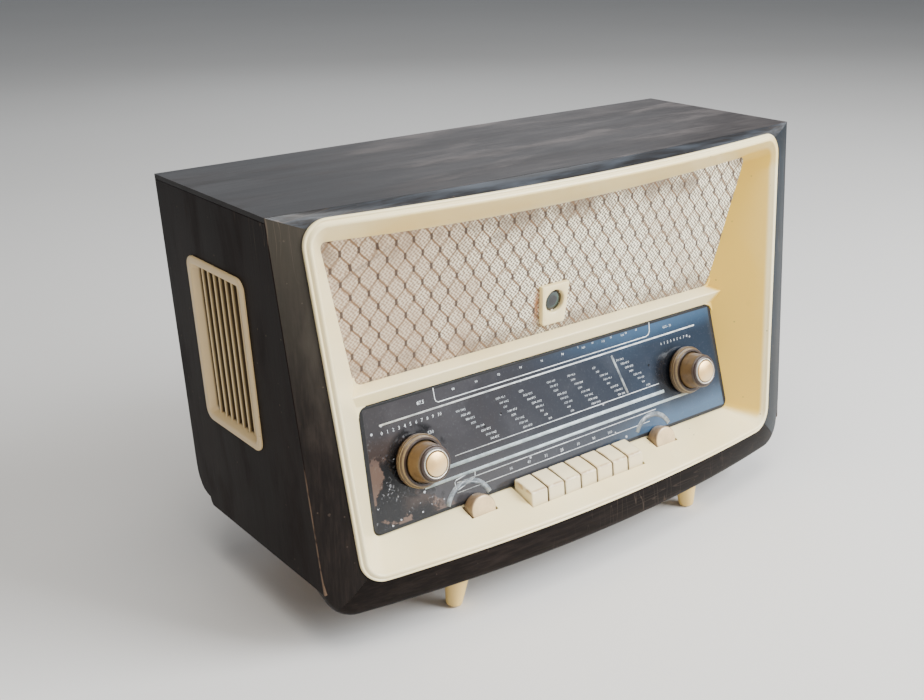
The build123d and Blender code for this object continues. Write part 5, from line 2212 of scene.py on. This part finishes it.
# ------------------------------------------------------------------ studio
@dataclass
class Studio:
    """Floor, lights and camera."""

    floor_half: float = 30000.0
    camera_at: Point = (-0.6962, -0.8232, 0.5911)
    azimuth: float = -37.392
    elevation: float = 21.013
    roll: float = -0.516
    lens: float = 47.05

    def build(self) -> None:
        """Builds the stage."""
        half = self.floor_half
        corners = [(-half, -half, 0), (half, -half, 0), (half, half, 0), (-half, half, 0)]
        floor = cage("floor", corners, [(0, 1, 2, 3)])
        floor.data.materials.append(PaleFloor().make())
        self.world()
        self.area("window_right", (1.56, -1.84, 1.60), (0.0, 0.0, 0.2), 1.7, 190.0, (0.94, 0.97, 1.0))
        self.area("wall_behind", (1.3, 2.1, 1.75), (0.0, 0.0, 0.3), 1.9, 11.0, (0.90, 0.95, 1.0))
        self.area("overhead", (-0.3, -0.5, 2.3), (0.0, 0.0, 0.2), 1.4, 46.0, (1.0, 0.97, 0.92))
        self.area("front_fill", (-0.9, -2.5, 1.0), (0.0, 0.0, 0.15), 1.6, 14.0, (1.0, 0.95, 0.88))
        self.camera()

    @staticmethod
    def world() -> None:
        """Pale, even surroundings."""
        world = bpy.data.worlds.new("surroundings")
        world.use_nodes = True
        tree = world.node_tree
        background = tree.nodes["Background"]
        background.inputs["Color"].default_value = (0.80, 0.85, 0.92, 1.0)
        background.inputs["Strength"].default_value = 0.24
        bpy.context.scene.world = world

    @staticmethod
    def area(name: str, at: Point, target: Point, size: float, power: float, colour: Colour) -> None:
        """Square soft light.

        Args:
            name: name of the light.
            at: where it stands, in metres.
            target: what it is aimed at, in metres.
            size: its side in metres.
            power: its watts.
            colour: its colour.
        """
        light = bpy.data.lights.new(name, "AREA")
        light.size = size
        light.energy = power
        light.color = colour
        aim = (Vector(target) - Vector(at)).to_track_quat("-Z", "Y")
        placed(name, light).matrix_world = Matrix.Translation(at) @ aim.to_matrix().to_4x4()

    def camera(self) -> None:
        """Camera at the set's three-quarter view."""
        azimuth, elevation, roll = (math.radians(a) for a in (self.azimuth, self.elevation, self.roll))
        back = Vector((math.sin(azimuth) * math.cos(elevation), -math.cos(azimuth) * math.cos(elevation),
                       math.sin(elevation)))
        right = (-back).cross(Vector((0, 0, 1))).normalized()
        up = right.cross(-back)
        level = Matrix((right, up, back)).transposed().to_4x4()
        data = bpy.data.cameras.new("camera")
        data.lens = self.lens
        data.sensor_width = 36.0
        data.clip_start = 0.01
        camera = placed("camera", data)
        camera.matrix_world = Matrix.Translation(self.camera_at) @ level @ Matrix.Rotation(roll, 4, "Z")
        bpy.context.scene.camera = camera


def main() -> None:
    """Builds the set, sub-assembly by sub-assembly."""
    logging.basicConfig(level=logging.INFO, format="%(name)s: %(message)s")
    Studio().build()
    Cabinet().build()
    Fascia().build()
    ClothFront().build()
    Dial().build()
    Knob("volume_turn", "aerial_ring", "volume", ("aerial_ring", "volume_knob", "volume_cap")).build()
    Knob("tuning_turn", "band_ring", "tuning", ("band_ring", "tuning_knob", "tuning_cap")).build()
    ToneKnob("bass_turn", "bass", "bass_knob").build()
    ToneKnob("treble_turn", "treble", "treble_knob").build()
    Keys().build()
    SideGrilles().build()
    Feet().build()
    Works().build()


if __name__ == "__main__":
    main()
